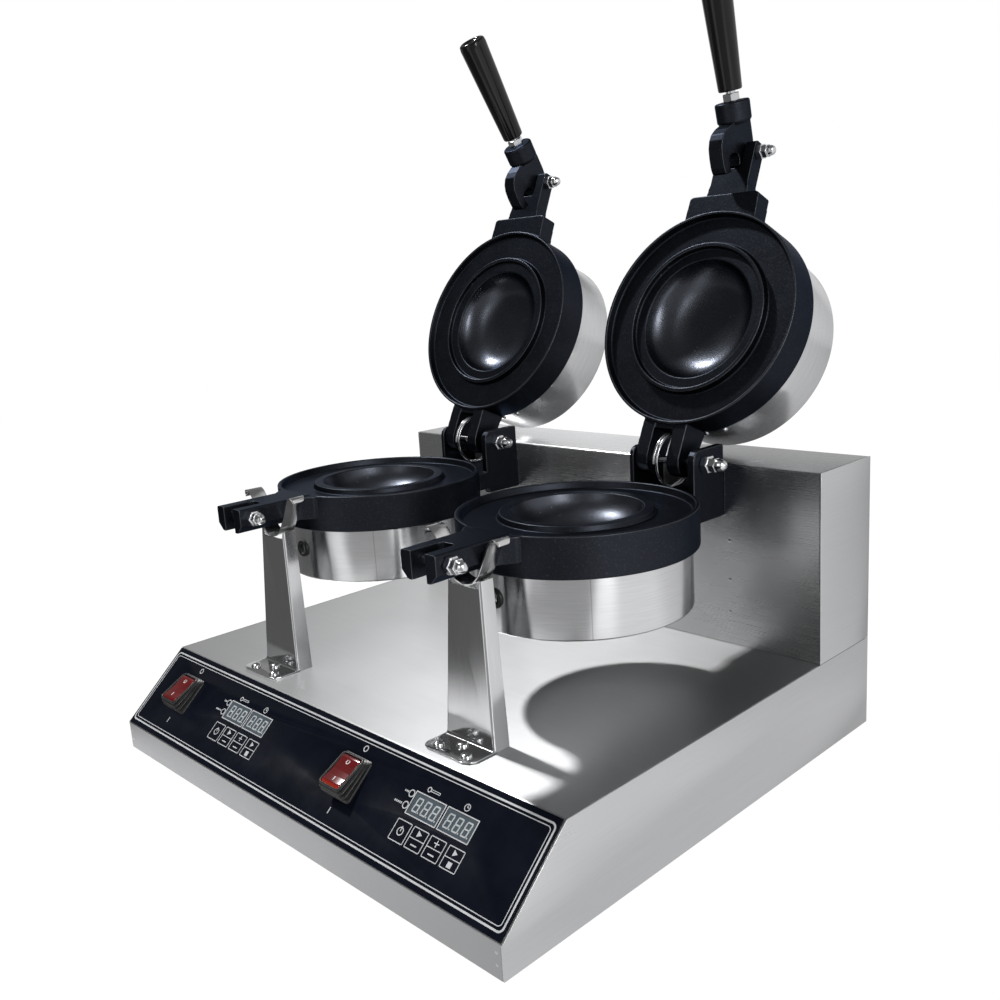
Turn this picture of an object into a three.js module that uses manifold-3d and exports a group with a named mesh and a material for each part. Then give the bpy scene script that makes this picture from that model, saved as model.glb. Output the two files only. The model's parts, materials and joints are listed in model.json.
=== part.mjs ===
// Two-station round press iron: a stainless counter-top base with a sloped control
// panel, a rear wiring box, and two hinged pairs of round black castings. Each upper
// casting swings on a cross bolt at the rear and carries a hooked latch lever with a
// grip at the front. Millimetres, +Z up, +Y towards the back, +X to the right.
// Origin: centre of the base's flat underside. Drawn with both presses open.

import * as THREE from 'three';
import { mergeVertices } from 'three/addons/utils/BufferGeometryUtils.js';
import Module from 'manifold-3d';

const wasm = await Module();
wasm.setup();

// ---------------------------------------------------------------- dimensions
const BASE_W = 480;             // overall width, X
const BASE_D = 440;             // overall depth, Y
const HALF_W = BASE_W / 2;
const HALF_D = BASE_D / 2;
const DECK_Z = 77;              // top of the base deck
const LIP_Z = 24;               // top of the vertical front lip
const SHEET = 1.2;              // sheet metal thickness
const SEAM = 0.3;               // gap between neighbouring pieces
const INSIDE_X = HALF_W - SHEET - SEAM;  // half width of the sheets between the sides
const BOX_Y = 140;              // front wall of the rear box
const BOX_Z = 233;              // top of the rear box
const BOX_FLANGE = 12;          // drop of the flange at the back of the box
const FOOT_H = 8;               // rubber foot height

const SLOPE_RUN = 59;           // horizontal run of the sloped control panel
const SLOPE_RISE = DECK_Z - LIP_Z;
const SLOPE_LENGTH = Math.hypot(SLOPE_RUN, SLOPE_RISE);
const SLOPE_ANGLE = Math.atan2(SLOPE_RISE, SLOPE_RUN);

// station centre lines, and the lever direction with the press shut
const STATIONS = [
  { side: 'left', centreX: -120.2, leverDeg: 234.0 },
  { side: 'right', centreX: 120.2, leverDeg: 217.3 },
];
const PLATE_Y = -7.5;           // centre of the round castings when shut
const LOWER_R = 91.5;           // lower casting radius
const LOWER_TOP = 223.5;        // lower rim crest
const LOWER_BOTTOM = 193;       // underside of the lower casting
const UPPER_R = 91.7;           // upper casting radius
const UPPER_FACE = 224.1;       // upper rim crest when shut
const UPPER_BACK = 254.5;       // outer side of the upper casting when shut
const DRUM_R = 86;              // lower steel drum radius
const DRUM_H = 45.7;            // lower steel drum depth
const DRUM_BOTTOM = 147;        // underside of the lower drum

const HINGE_Y = 112;            // rear hinge axis
const HINGE_Z = 237.5;
const OPEN_DEG = 113.5;         // opening angle of the drawn pose
const CHEEK_OUTER = 32.4;       // outer faces of the hinge cheeks, from the centre line

const FORK_FRONT = -162.5;      // front of the lower fork
const FORK_SLOT_END = -135.2;   // inner end of the fork slot
const FORK_TOP = 224;
const FORK_BOTTOM = 204;
const FORK_HALF = 17.6;         // half width of the fork
const SLOT_HALF = 7.3;          // half width of the fork slot
const CATCH_Y = -151;           // cross bolt the hook catches
const CATCH_Z = 215.8;

const CLEVIS_Y = -155;          // lever pivot when shut
const CLEVIS_Z = 238;
const ARM_HALF = 18.3;          // half width of the upper arm
const ARM_FACE = 232;           // lower face of the upper arm when shut
const ARM_BACK = 246;
const LEVER_HALF = 6.7;         // half thickness of the lever plate

const BOLT_R = 3.2;
const LOWER_BOLT_HOLE_R = BOLT_R + 0.1;
const BOLT_HOLE_R = BOLT_R + 0.15;  // in the upper casting, lever and nuts
const BOLT_HEAD = 10.5;         // across flats
const ROUND = 36;               // facets on the large rounds

// places on the slope: x from the station centre line, s up the slope
const SWITCH_X = -66.5;
const SWITCH_S = 43.3;
const ROCKER_DEG = 13.4;        // rocker tilt from level
const ROCKER_H = 5.2;           // rocker pivot height off the slope
const WINDOWS_X = [[0, 30], [32, 61.2]];
const WINDOW_ROW_X = [0, 61.2]; // both windows together
const WINDOW_S = [39.9, 56.0];

// ---------------------------------------------------------------- materials
const finish = (settings) => () => new THREE.MeshStandardMaterial(settings);
const steel = finish({ color: 0xb9bcbe, roughness: 0.34, metalness: 1.0 });
const brightSteel = finish({ color: 0xd4d7d9, roughness: 0.18, metalness: 1.0 });
const casting = finish({ color: 0x14161c, roughness: 0.42, metalness: 0.25 });
const blackPlastic = finish({ color: 0x0b0c0f, roughness: 0.22, metalness: 0.0 });
const rubber = finish({ color: 0x101012, roughness: 0.8, metalness: 0.0 });
const heaterMetal = finish({ color: 0x8f8a80, roughness: 0.55, metalness: 0.9 });
const springWire = finish({ color: 0xa9adb0, roughness: 0.25, metalness: 1.0 });
const redLens = finish({ color: 0xb01218, roughness: 0.16, metalness: 0.0 });
const membrane = finish({ color: 0x0d1120, roughness: 0.3, metalness: 0.0 });
const displayGrey = finish({ color: 0x5b6670, roughness: 0.35, metalness: 0.0 });

// ---------------------------------------------------------------- solids and meshes
const radians = THREE.MathUtils.degToRad;

// Welds a closed geometry, drops its collapsed triangles and turns it right side out.
function toSolid(geometry) {
  const bare = geometry.clone();
  for (const name of Object.keys(bare.attributes)) {
    if (name !== 'position') bare.deleteAttribute(name);
  }
  const welded = mergeVertices(bare, 1e-4);
  const position = welded.attributes.position;
  const index = welded.index.array;
  const corners = [new THREE.Vector3(), new THREE.Vector3(), new THREE.Vector3()];
  const triangles = [];
  let volume = 0;
  for (let i = 0; i < index.length; i += 3) {
    const triangle = [index[i], index[i + 1], index[i + 2]];
    if (new Set(triangle).size < 3) continue;
    triangles.push(triangle);
    const [first, second, third] = corners.map(
      (corner, k) => corner.fromBufferAttribute(position, triangle[k]));
    volume += first.dot(second.cross(third)) / 6;
  }
  const outward = volume < 0 ? triangles.map(([i, j, k]) => [i, k, j]) : triangles;
  return new wasm.Manifold(new wasm.Mesh({
    numProp: 3,
    vertProperties: new Float32Array(position.array),
    triVerts: new Uint32Array(outward.flat()),
  }));
}

function toGeometry(solid) {
  const mesh = solid.getMesh();
  const geometry = new THREE.BufferGeometry();
  const positions = new Float32Array(mesh.vertProperties);
  geometry.setAttribute('position', new THREE.BufferAttribute(positions, 3));
  geometry.setIndex(new THREE.BufferAttribute(new Uint32Array(mesh.triVerts), 1));
  geometry.computeVertexNormals();
  return geometry;
}

function add(group, name, solid, material) {
  const mesh = new THREE.Mesh(toGeometry(solid), material());
  mesh.name = name;
  group.add(mesh);
}

// A span is a [from, to] pair along one axis.
const about = (centre, half) => [centre - half, centre + half];
const shift = ([from, to], by) => [from + by, to + by];
const grow = ([from, to], by) => [from - by, to + by];
const middle = ([from, to]) => (from + to) / 2;
const size = ([from, to]) => to - from;

const block = (spanX, spanY, spanZ) => toSolid(
  new THREE.BoxGeometry(size(spanX), size(spanY), size(spanZ))
    .translate(middle(spanX), middle(spanY), middle(spanZ)));

const extrude = (points, depth) => new THREE.ExtrudeGeometry(
  new THREE.Shape(points.map((point) => new THREE.Vector2(...point))),
  { depth, bevelEnabled: false, curveSegments: 1 });

const basis = (...axes) => new THREE.Matrix4().makeBasis(
  ...axes.map((axis) => new THREE.Vector3(...axis)));

// outline given as [y, z]
const prismX = (outline, span) => toSolid(extrude(outline, size(span))
  .applyMatrix4(basis([0, 1, 0], [0, 0, 1], [1, 0, 0])).translate(span[0], 0, 0));
// outline given as [x, z]
const prismY = (outline, span) => toSolid(extrude(outline, size(span))
  .applyMatrix4(basis([1, 0, 0], [0, 0, 1], [0, -1, 0])).translate(0, span[1], 0));
// outline given as [x, y]
const prismZ = (outline, span) => toSolid(extrude(outline, size(span)).translate(0, 0, span[0]));

const rodX = (radius, span, y, z, facets = 12) => toSolid(
  new THREE.CylinderGeometry(radius, radius, size(span), facets)
    .rotateZ(-Math.PI / 2).translate(middle(span), y, z));
const rodY = (radius, span, x, z, facets = 12) => toSolid(
  new THREE.CylinderGeometry(radius, radius, size(span), facets)
    .translate(x, middle(span), z));
const rodZ = (radius, span, x, y, facets = 12, topRadius = radius) => toSolid(
  new THREE.CylinderGeometry(topRadius, radius, size(span), facets)
    .rotateX(Math.PI / 2).translate(x, y, middle(span)));
const hexX = (acrossFlats, span, y, z) => rodX(acrossFlats / Math.sqrt(3), span, y, z, 6);

// profiles given as [radius, distance along the axis]
const lathe = (profile, facets) => new THREE.LatheGeometry(
  profile.map((point) => new THREE.Vector2(...point)), facets);
const turnX = (profile, facets) => toSolid(lathe(profile, facets).rotateZ(-Math.PI / 2));
const turnY = (profile, facets) => toSolid(lathe(profile, facets));
const turnZ = (profile, facets = ROUND) => toSolid(lathe(profile, facets).rotateX(Math.PI / 2));

const onPlateAxis = (solid) => solid.translate([0, PLATE_Y, 0]);
const plateDisc = (radius, [z0, z1]) => onPlateAxis(
  turnZ([[0, z0], [radius, z0], [radius, z1], [0, z1]]));

// six-faced solid; each pair gives a value at the bottom and at the top
function taperedBlock({ halfWidth, front, back, z }) {
  const geometry = new THREE.BoxGeometry(1, 1, 1);
  const position = geometry.attributes.position;
  for (let i = 0; i < position.count; i++) {
    const end = position.getZ(i) > 0 ? 1 : 0;
    const y = position.getY(i) > 0 ? back : front;
    position.setXYZ(i, Math.sign(position.getX(i)) * halfWidth[end], y[end], z[end]);
  }
  return toSolid(geometry);
}

// outline of a strip of the given thickness along a centre line
function strip(line, thickness) {
  const left = [];
  const right = [];
  line.forEach(([across, up], i) => {
    const before = line[Math.max(0, i - 1)];
    const after = line[Math.min(line.length - 1, i + 1)];
    const run = after[0] - before[0];
    const rise = after[1] - before[1];
    const scale = thickness / 2 / Math.hypot(run, rise);
    left.push([across - rise * scale, up + run * scale]);
    right.push([across + rise * scale, up - run * scale]);
  });
  return left.concat(right.reverse());
}

// a solid drawn flat (x, distance up the slope, height off it) moved onto the slope
const ontoSlope = (solid) => solid
  .rotate([THREE.MathUtils.radToDeg(SLOPE_ANGLE), 0, 0]).translate([0, -HALF_D, LIP_Z]);

const switchOpening = (centreX, spanH) => block(
  about(centreX + SWITCH_X, 11.6), about(SWITCH_S, 15), spanH);

// ---------------------------------------------------------------- base cabinet
const INLET_X = -150;           // mains inlet centre
const INLET_Z = 40;
const COVER_HALF_X = 165;       // half sizes of the service opening
const COVER_HALF_Y = 130;
const VENT_ROWS = 6;

const BASE_OUTLINE = [          // [y, z]
  [-HALF_D, 0], [-HALF_D, LIP_Z], [-HALF_D + SLOPE_RUN, DECK_Z], [HALF_D, DECK_Z], [HALF_D, 0],
];

// front lip, slope, deck and rear wall in one folded sheet
function baseShell() {
  const cos = Math.cos(SLOPE_ANGLE);
  const sin = Math.sin(SLOPE_ANGLE);
  // start of the slope's inner face, then the distances up it to the lip and deck
  const startY = -HALF_D + SHEET * sin;
  const startZ = LIP_Z - SHEET * cos;
  const toLip = (-HALF_D + SHEET - startY) / cos;
  const toDeck = (DECK_Z - SHEET - startZ) / sin;
  const outline = [
    ...BASE_OUTLINE,
    [HALF_D - SHEET, 0], [HALF_D - SHEET, DECK_Z - SHEET],
    [startY + toDeck * cos, DECK_Z - SHEET],
    [-HALF_D + SHEET, startZ + toLip * sin], [-HALF_D + SHEET, 0],
  ];
  let shell = prismX(outline, about(0, INSIDE_X));
  for (const { centreX } of STATIONS) {
    const windowRow = block(
      grow(shift(WINDOW_ROW_X, centreX), 0.6), grow(WINDOW_S, 0.6), [-4, 4]);
    const wiringHole = rodZ(14, about(DECK_Z, 6), centreX, 180, 20);
    shell = shell.subtract(ontoSlope(switchOpening(centreX, [-4, 4])))
      .subtract(ontoSlope(windowRow))
      .subtract(wiringHole);
  }
  return shell.subtract(block(about(INLET_X, 14.2), about(HALF_D, 6), about(INLET_Z, 10.2)));
}

const bottomPlate = () => block(
  about(0, INSIDE_X), about(0, HALF_D - SHEET - SEAM), [0, SHEET])
  .subtract(block(about(0, COVER_HALF_X), about(0, COVER_HALF_Y), [-2, 4]));

// vented cover, set flush in the bottom plate
function serviceCover() {
  const pitch = 16;
  const firstVent = [-60, -55];
  let cover = block(about(0, COVER_HALF_X - SEAM), about(0, COVER_HALF_Y - SEAM), [0, SHEET]);
  for (const x of [-110, 110]) {
    for (let i = 0; i < VENT_ROWS; i++) {
      cover = cover.subtract(block(about(x, 30), shift(firstVent, i * pitch), [-2, 4]));
    }
  }
  return cover;
}

function addBase(machine) {
  add(machine, 'base_shell', baseShell(), steel);
  add(machine, 'base_side_left', prismX(BASE_OUTLINE, [-HALF_W, -HALF_W + SHEET]), steel);
  add(machine, 'base_side_right', prismX(BASE_OUTLINE, [HALF_W - SHEET, HALF_W]), steel);
  add(machine, 'bottom_plate', bottomPlate(), steel);
  add(machine, 'service_cover', serviceCover(), steel);
  for (const [row, y] of [['front', -180], ['rear', 180]]) {
    for (const [side, x] of [['left', -200], ['right', 200]]) {
      add(machine, `foot_${row}_${side}`, rodZ(11, [-FOOT_H, -0.02], x, y, 20, 13), rubber);
    }
  }
}

// ---------------------------------------------------------------- rear box
const BOX_SPAN_Z = [DECK_Z + SEAM, BOX_Z];

// front wall, top and a short rear flange, folded from one sheet
function rearBox() {
  const bottom = BOX_SPAN_Z[0];
  const outline = [             // [y, z]
    [BOX_Y, bottom], [BOX_Y, BOX_Z], [HALF_D, BOX_Z], [HALF_D, BOX_Z - BOX_FLANGE],
    [HALF_D - SHEET, BOX_Z - BOX_FLANGE], [HALF_D - SHEET, BOX_Z - SHEET],
    [BOX_Y + SHEET, BOX_Z - SHEET], [BOX_Y + SHEET, bottom],
  ];
  let box = prismX(outline, about(0, INSIDE_X));
  for (const { centreX } of STATIONS) {
    box = box.subtract(rodY(8, [BOX_Y - 4, BOX_Y + 5], centreX, 201, 20));
  }
  return box;
}

function backPanel() {
  const pitch = 13;
  const firstVent = [112, 116];
  let panel = block(about(0, INSIDE_X), [HALF_D - SHEET, HALF_D],
    [BOX_SPAN_Z[0], BOX_Z - BOX_FLANGE - SEAM]);
  for (const x of [-120, 120]) {
    for (let i = 0; i < VENT_ROWS; i++) {
      panel = panel.subtract(
        block(about(x, 40), about(HALF_D, 5), shift(firstVent, i * pitch)));
    }
  }
  return panel;
}

// flanged body with a recessed three-pin socket
function mainsInlet() {
  let inlet = block(about(INLET_X, 14), [HALF_D - 16, HALF_D + 0.5], about(INLET_Z, 10))
    .add(block(about(INLET_X, 22), [HALF_D + 0.3, HALF_D + 3], about(INLET_Z, 13)))
    .subtract(block(about(INLET_X, 11.5), [HALF_D - 11, HALF_D + 6], about(INLET_Z, 8)));
  for (const [dx, dz] of [[-7, -2.5], [0, 2.5], [7, -2.5]]) {
    inlet = inlet.add(
      block(about(INLET_X + dx, 1), [HALF_D - 12, HALF_D - 1], about(INLET_Z + dz, 2)));
  }
  return inlet;
}

function addRearBox(machine) {
  const spanY = [BOX_Y, HALF_D];
  add(machine, 'rear_box', rearBox(), steel);
  add(machine, 'box_side_left', block([-HALF_W, -HALF_W + SHEET], spanY, BOX_SPAN_Z), steel);
  add(machine, 'box_side_right', block([HALF_W - SHEET, HALF_W], spanY, BOX_SPAN_Z), steel);
  add(machine, 'back_panel', backPanel(), steel);
  add(machine, 'mains_inlet', mainsInlet(), blackPlastic);
}

// ---------------------------------------------------------------- control panel
// thin sheet on the slope, cut out for the switches and display windows
function controlOverlay() {
  let sheet = block(about(0, HALF_W - 1.9), [0.8, SLOPE_LENGTH - 0.8], [0.3, 0.8]);
  for (const { centreX } of STATIONS) {
    sheet = sheet.subtract(switchOpening(centreX, [-2, 4]));
    for (const spanX of WINDOWS_X) {
      sheet = sheet.subtract(block(shift(spanX, centreX), WINDOW_S, [-2, 4]));
    }
  }
  return ontoSlope(sheet);
}

function switchBody() {
  const peak = [[SWITCH_S - 10, 2], [SWITCH_S + 10, 2], [SWITCH_S, 4.9]];  // [s, height]
  let body = block(about(SWITCH_X, 11), about(SWITCH_S, 14.4), [-22, 1.5])
    .add(block(about(SWITCH_X, 15.6), about(SWITCH_S, 16.6), [1.1, 2.1]))
    .add(prismX(peak, about(SWITCH_X, 8)));
  for (const dx of [-6, 0, 6]) {
    body = body.add(block(about(SWITCH_X + dx, 0.4), about(SWITCH_S, 3), [-30, -21]));
  }
  return body;
}

const switchRocker = () => prismX([  // [y, z] from the rocker pivot
  [-12.6, 0.3], [12.6, 0.3], [12.8, 3.6], [12.2, 4.9], [10.6, 5.4],
  [0, 4.6], [-10.6, 5.4], [-12.2, 4.9], [-12.8, 3.6],
], about(0, 10));

// board behind the panel with a raised block in each window
function displayBoard() {
  let board = block([-12, 72], [12, 62], [-12, -10.4]);
  for (const spanX of WINDOWS_X) {
    board = board.add(block(grow(spanX, -0.3), grow(WINDOW_S, -0.3), [-10.5, 0.5]));
  }
  return board;
}

// ---------------------------------------------------------------- bolts and nuts
const headedBolt = ({ shank, head, y, z }) => rodX(BOLT_R, shank, y, z)
  .add(hexX(BOLT_HEAD, head, y, z));

// hexagon and dome from x = 0 outwards, bored from the hexagon end
const domeNut = ({ acrossFlats, hexLength, dome, facets, boreEnd }) =>
  hexX(acrossFlats, [0, hexLength], 0, 0).add(turnX(dome, facets))
    .subtract(rodX(BOLT_HOLE_R, [-1, boreEnd], 0, 0));

const capNut = () => domeNut({
  acrossFlats: 11.5,
  hexLength: 5,
  dome: [[0, 4.9], [5.5, 4.9], [5.5, 8.8], [4.9, 9.4], [4.7, 11.6], [3.2, 14.6], [0, 15.6]],
  facets: 12,
  boreEnd: 12.2,
});

const hingeNut = () => domeNut({
  acrossFlats: 13,
  hexLength: 6.5,
  dome: [[0, 6.4], [6, 6.4], [6, 12], [5.4, 12.8], [5.2, 15.5], [3.4, 19.5], [0, 21]],
  facets: 14,
  boreEnd: 16,
});

// ---------------------------------------------------------------- drums and heaters
// cup with its closed end at one height and its open end at the other
function drumShell(radius, closedZ, openZ) {
  const innerZ = closedZ + Math.sign(openZ - closedZ) * SHEET;
  return turnZ([
    [0, closedZ], [radius, closedZ], [radius, openZ],
    [radius - SHEET, openZ], [radius - SHEET, innerZ], [0, innerZ],
  ]);
}

// flat ring
const heater = (z0, z1) => onPlateAxis(
  turnZ([[24, z0], [76, z0], [76, z1], [24, z1], [24, z0]], 24));

// the lower drum has a cable grommet hole at the front
const lowerDrum = () => onPlateAxis(drumShell(DRUM_R, DRUM_BOTTOM, DRUM_BOTTOM + DRUM_H))
  .subtract(rodY(6, about(PLATE_Y - DRUM_R, 8), -3, 173.5));

const upperDrum = () => drumShell(DRUM_R + 1, UPPER_BACK + 1.3 + DRUM_H, UPPER_BACK + 0.3)
  .translate([0, PLATE_Y + 3.5, 0]);

// ---------------------------------------------------------------- lower casting
const lowerDish = () => onPlateAxis(turnZ([  // [radius, z]
  [0, LOWER_BOTTOM], [LOWER_R, LOWER_BOTTOM], [LOWER_R, LOWER_TOP], [88.2, LOWER_TOP],
  [86, 217.8], [59.6, 217.8], [57.8, 222], [50.6, 222], [47.2, 214.6], [41.5, 208.4],
  [33, 203.8], [20, 200.9], [0, 200.2],
]));

function lowerFork() {
  const chamfer = 6;
  const fork = prismY([         // [x, z]
    [-FORK_HALF, FORK_TOP], [-FORK_HALF, FORK_BOTTOM + chamfer],
    [-FORK_HALF + chamfer, FORK_BOTTOM], [FORK_HALF - chamfer, FORK_BOTTOM],
    [FORK_HALF, FORK_BOTTOM + chamfer], [FORK_HALF, FORK_TOP],
  ], [FORK_FRONT, PLATE_Y - 84]);
  const flare = prismZ([        // [x, y]
    [-FORK_HALF, -109.8], [-22, -106.5], [-27, -97], [-27, -84],
    [27, -84], [27, -97], [22, -106.5], [FORK_HALF, -109.8],
  ], [FORK_BOTTOM, 223.2]);
  const slot = prismZ([         // [x, y]
    [-SLOT_HALF, FORK_FRONT - 5], [SLOT_HALF, FORK_FRONT - 5],
    [SLOT_HALF, FORK_SLOT_END - 2], [SLOT_HALF - 3, FORK_SLOT_END],
    [-SLOT_HALF + 3, FORK_SLOT_END], [-SLOT_HALF, FORK_SLOT_END - 2],
  ], [195, 230]);
  return fork.add(flare).subtract(slot);
}

// block at the rear with a cheek at each end for the hinge bolt
function hingeCheeks() {
  const back = 139.7;
  const cheek = [               // [y, z]
    [98.5, 193], [97.6, 214], [98, 242], [99.2, 245.6], [102, 248.2], [106, 249.2],
    [back, 249.6], [back, 189], [100, 189],
  ];
  return block(about(0, CHEEK_OUTER), [60, back], [193.5, 210])
    .add(prismX(cheek, [-CHEEK_OUTER, -28.6]))
    .add(prismX(cheek, [26.2, CHEEK_OUTER]));
}

function lowerPlate() {
  // keeps the fork and cheeks clear of the dished face
  const face = plateDisc(88.3, [217.9, 240]);
  const fork = lowerFork().subtract(face)
    .subtract(rodX(LOWER_BOLT_HOLE_R, about(0, 30), CATCH_Y, CATCH_Z));
  const rear = hingeCheeks().subtract(face)
    .subtract(rodX(LOWER_BOLT_HOLE_R, about(0, 40), HINGE_Y, HINGE_Z));
  return lowerDish().add(fork).add(rear);
}

// ---------------------------------------------------------------- spring and supports
// torsion spring round the hinge bolt, with a straight tail towards the front
function hingeSpring() {
  const radius = 22;
  const turns = 1.75;
  const coilSteps = 36;
  const startX = 1.9;
  const widthX = 5.4;
  const wireR = 1.25;
  const wireSides = 5;
  const points = [-17, -7].map(
    (dy) => new THREE.Vector3(startX, HINGE_Y + dy, HINGE_Z - radius));
  for (let i = 0; i <= coilSteps; i++) {
    const angle = -Math.PI / 2 + turns * 2 * Math.PI * i / coilSteps;
    points.push(new THREE.Vector3(
      startX - widthX * i / coilSteps,
      HINGE_Y + 3 + radius * Math.cos(angle),
      HINGE_Z + radius * Math.sin(angle)));
  }
  const section = Array.from({ length: wireSides }, (_, i) => {
    const angle = i * 2 * Math.PI / wireSides;
    return new THREE.Vector2(wireR * Math.cos(angle), wireR * Math.sin(angle));
  });
  return toSolid(new THREE.ExtrudeGeometry(new THREE.Shape(section), {
    steps: 40,
    extrudePath: new THREE.CatmullRomCurve3(points, false, 'centripetal'),
    bevelEnabled: false,
    curveSegments: 1,
  }));
}

// tapered folded channel, open to the rear, with a screwed foot plate
function supportPost() {
  const wall = 1.5;
  const bottom = DECK_Z + 0.1;
  const top = 197;
  const outer = taperedBlock({
    halfWidth: [25, 17], front: [-129.5, -124.5], back: [-115, -113], z: [bottom, top],
  });
  const inner = taperedBlock({
    halfWidth: [25 - wall, 17 - wall],
    front: [-129.5 + wall, -124.5 + wall],
    back: [-105, -105],
    z: [bottom - 0.5, top + 0.5],
  });
  const topNotch = block(about(0, 15.3), [-140, -100], [191.2, 210]);
  const footPlate = prismZ([    // [x, y]
    [-25.5, -127.8], [-25.5, -146], [-23.2, -151.2], [-18, -153.5],
    [18, -153.5], [23.2, -151.2], [25.5, -146], [25.5, -127.8],
  ], [bottom, bottom + wall]);
  let post = outer.subtract(inner).subtract(topNotch).add(footPlate);
  for (const [x, y] of [[-14, -146], [0.5, -136.5], [15, -146.5]]) {
    post = post.subtract(rodZ(2.1, [bottom - 3, bottom + 4], x, y));
  }
  return post;
}

// strap under the fork, lips curled outwards, the right one smaller
function cradleStrap() {
  // centre lines given as [distance from x = 0, z]
  const rise = [[6, 193.4], [10.5, 196], [14.3, 200.2], [17.6, 205.6], [20.6, 211.5], [23.6, 217.5]];
  const leftLip = [
    [26.6, 222.6], [29.8, 226.2], [33.2, 227.8], [36.8, 227.2], [39.4, 224.8], [40.6, 221.6],
  ];
  const rightLip = [[26.0, 222.4], [28.3, 225.6], [31.0, 227.2], [33.8, 226.4], [35.4, 223.6]];
  const left = [...rise, ...leftLip].map(([x, z]) => [-x, z]).reverse();
  return prismY(strip([...left, [0, 192.4], ...rise, ...rightLip], 1.2), [-124.5, -110.5]);
}

// ---------------------------------------------------------------- upper casting (shut)
const upperDish = () => onPlateAxis(turnZ([  // [radius, z]
  [0, UPPER_BACK], [UPPER_R, UPPER_BACK], [UPPER_R, UPPER_FACE], [89.4, UPPER_FACE],
  [87.6, 230.2], [65.4, 230.2], [64.4, UPPER_FACE], [61.2, UPPER_FACE], [60, 228.6],
  [51.4, 228.6], [47.6, 236.6], [41.5, 242.6], [33, 247.2], [20, 250], [0, 250.7],
]));

// front arm, slotted for the lever
function upperArm() {
  const shoulder = prismZ([     // [x, y]
    [-33.5, -114.5], [-31, -116], [31, -116], [33.5, -114.5], [35, -86], [-35, -86],
  ], [228.6, ARM_BACK]);
  const arm = prismX([          // [y, z]
    [-163.5, ARM_FACE + 2], [-163.5, ARM_BACK - 2.5], [-161, ARM_BACK],
    [-112, ARM_BACK], [-112, ARM_FACE], [-162, ARM_FACE],
  ], about(0, ARM_HALF));
  const root = prismZ([         // [x, y]
    [-ARM_HALF, -130], [-19.6, -112], [19.6, -112], [ARM_HALF, -130],
  ], [ARM_FACE, ARM_BACK]);
  const clevisSlot = block(about(0, 8.1), [-170, -140.2], [220, 260]);
  return shoulder.add(arm.add(root)).subtract(clevisSlot);
}

// rear block with two lugs on the hinge bolt
function hingeLugs() {
  const lug = [                 // [y, z]
    [70, 229], [84, 226.2], [104, 225.2], [HINGE_Y, 225.0], [119, 227.2], [123.6, 232.4],
    [124.9, 239], [122.6, 245.4], [117.6, 249.3], [HINGE_Y, 250.2], [98, 251.5],
    [84, 254], [70, 254],
  ];
  const left = -28.1;
  const right = 15.8;
  return block([left, right], [70, 87.5], [227, 254])
    .add(prismX(lug, [left, -15.9]))
    .add(prismX(lug, [3.7, right]));
}

function upperPlate() {
  // keeps the arm and lugs clear of the dished face
  const recess = plateDisc(89.4, [200, 230.3]);
  const front = upperArm().subtract(recess)
    .subtract(rodX(BOLT_HOLE_R, about(0, 30), CLEVIS_Y, CLEVIS_Z));
  const lugs = hingeLugs().subtract(recess)
    .subtract(rodX(BOLT_HOLE_R, about(0, 30), HINGE_Y, HINGE_Z));
  return upperDish().add(front).add(lugs);
}

// ---------------------------------------------------------------- latch lever
// Lever, stud and grip are drawn along +Y from the lever pivot.

// hooked plate and round collar
function latchLever() {
  const plate = [               // [y, z]
    [27, -13.4], [24, -14], [11, -14], [4, -13.2], [-4, -11.2], [-9.6, -7], [-11.8, -1],
    [-11.6, 4.5], [-9.6, 9.2], [-6.4, 11.4], [-1.5, 10.2], [2.4, 11.6], [4.6, 15.4],
    [4.7, 19.6], [3.6, 23.6], [1, 26], [-2.3, 26], [-5.4, 25.5], [-8.7, 24.6],
    [-9.5, 26.2], [-9.8, 31.6], [-8.4, 33.4], [-4, 34.6], [4, 34.8], [12, 34],
    [18, 31.4], [22.4, 27.4], [25.4, 21], [27, 14.2],
  ];
  const collar = [              // [radius, y]
    [0, 25.5], [13.4, 25.5], [14.5, 27], [14.5, 42.4], [13.6, 43.5], [0, 43.5],
  ];
  return prismX(plate, about(0, LEVER_HALF))
    .add(turnY(collar, 20))
    .subtract(rodX(BOLT_HOLE_R, about(0, 20), 0, 0))
    .subtract(rodY(4.2, [32, 60], 0, 0));
}

const handleStud = () => rodY(4, [32.4, 74], 0, 0).add(rodY(7.6, [43.8, 50], 0, 0, 6));

const handleGrip = () => turnY([  // [radius, y]
  [0, 76], [4.2, 76], [4.2, 51.9], [9.4, 51.9], [9.9, 53], [13.0, 144],
  [12.4, 147.8], [10, 149.2], [7, 147.2], [0, 146],
], 20);

// ---------------------------------------------------------------- assembly
function subgroup(parent, position, angle = 0) {
  const group = new THREE.Group();
  group.position.set(...position);
  group.rotation.x = angle;
  parent.add(group);
  return group;
}

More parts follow.
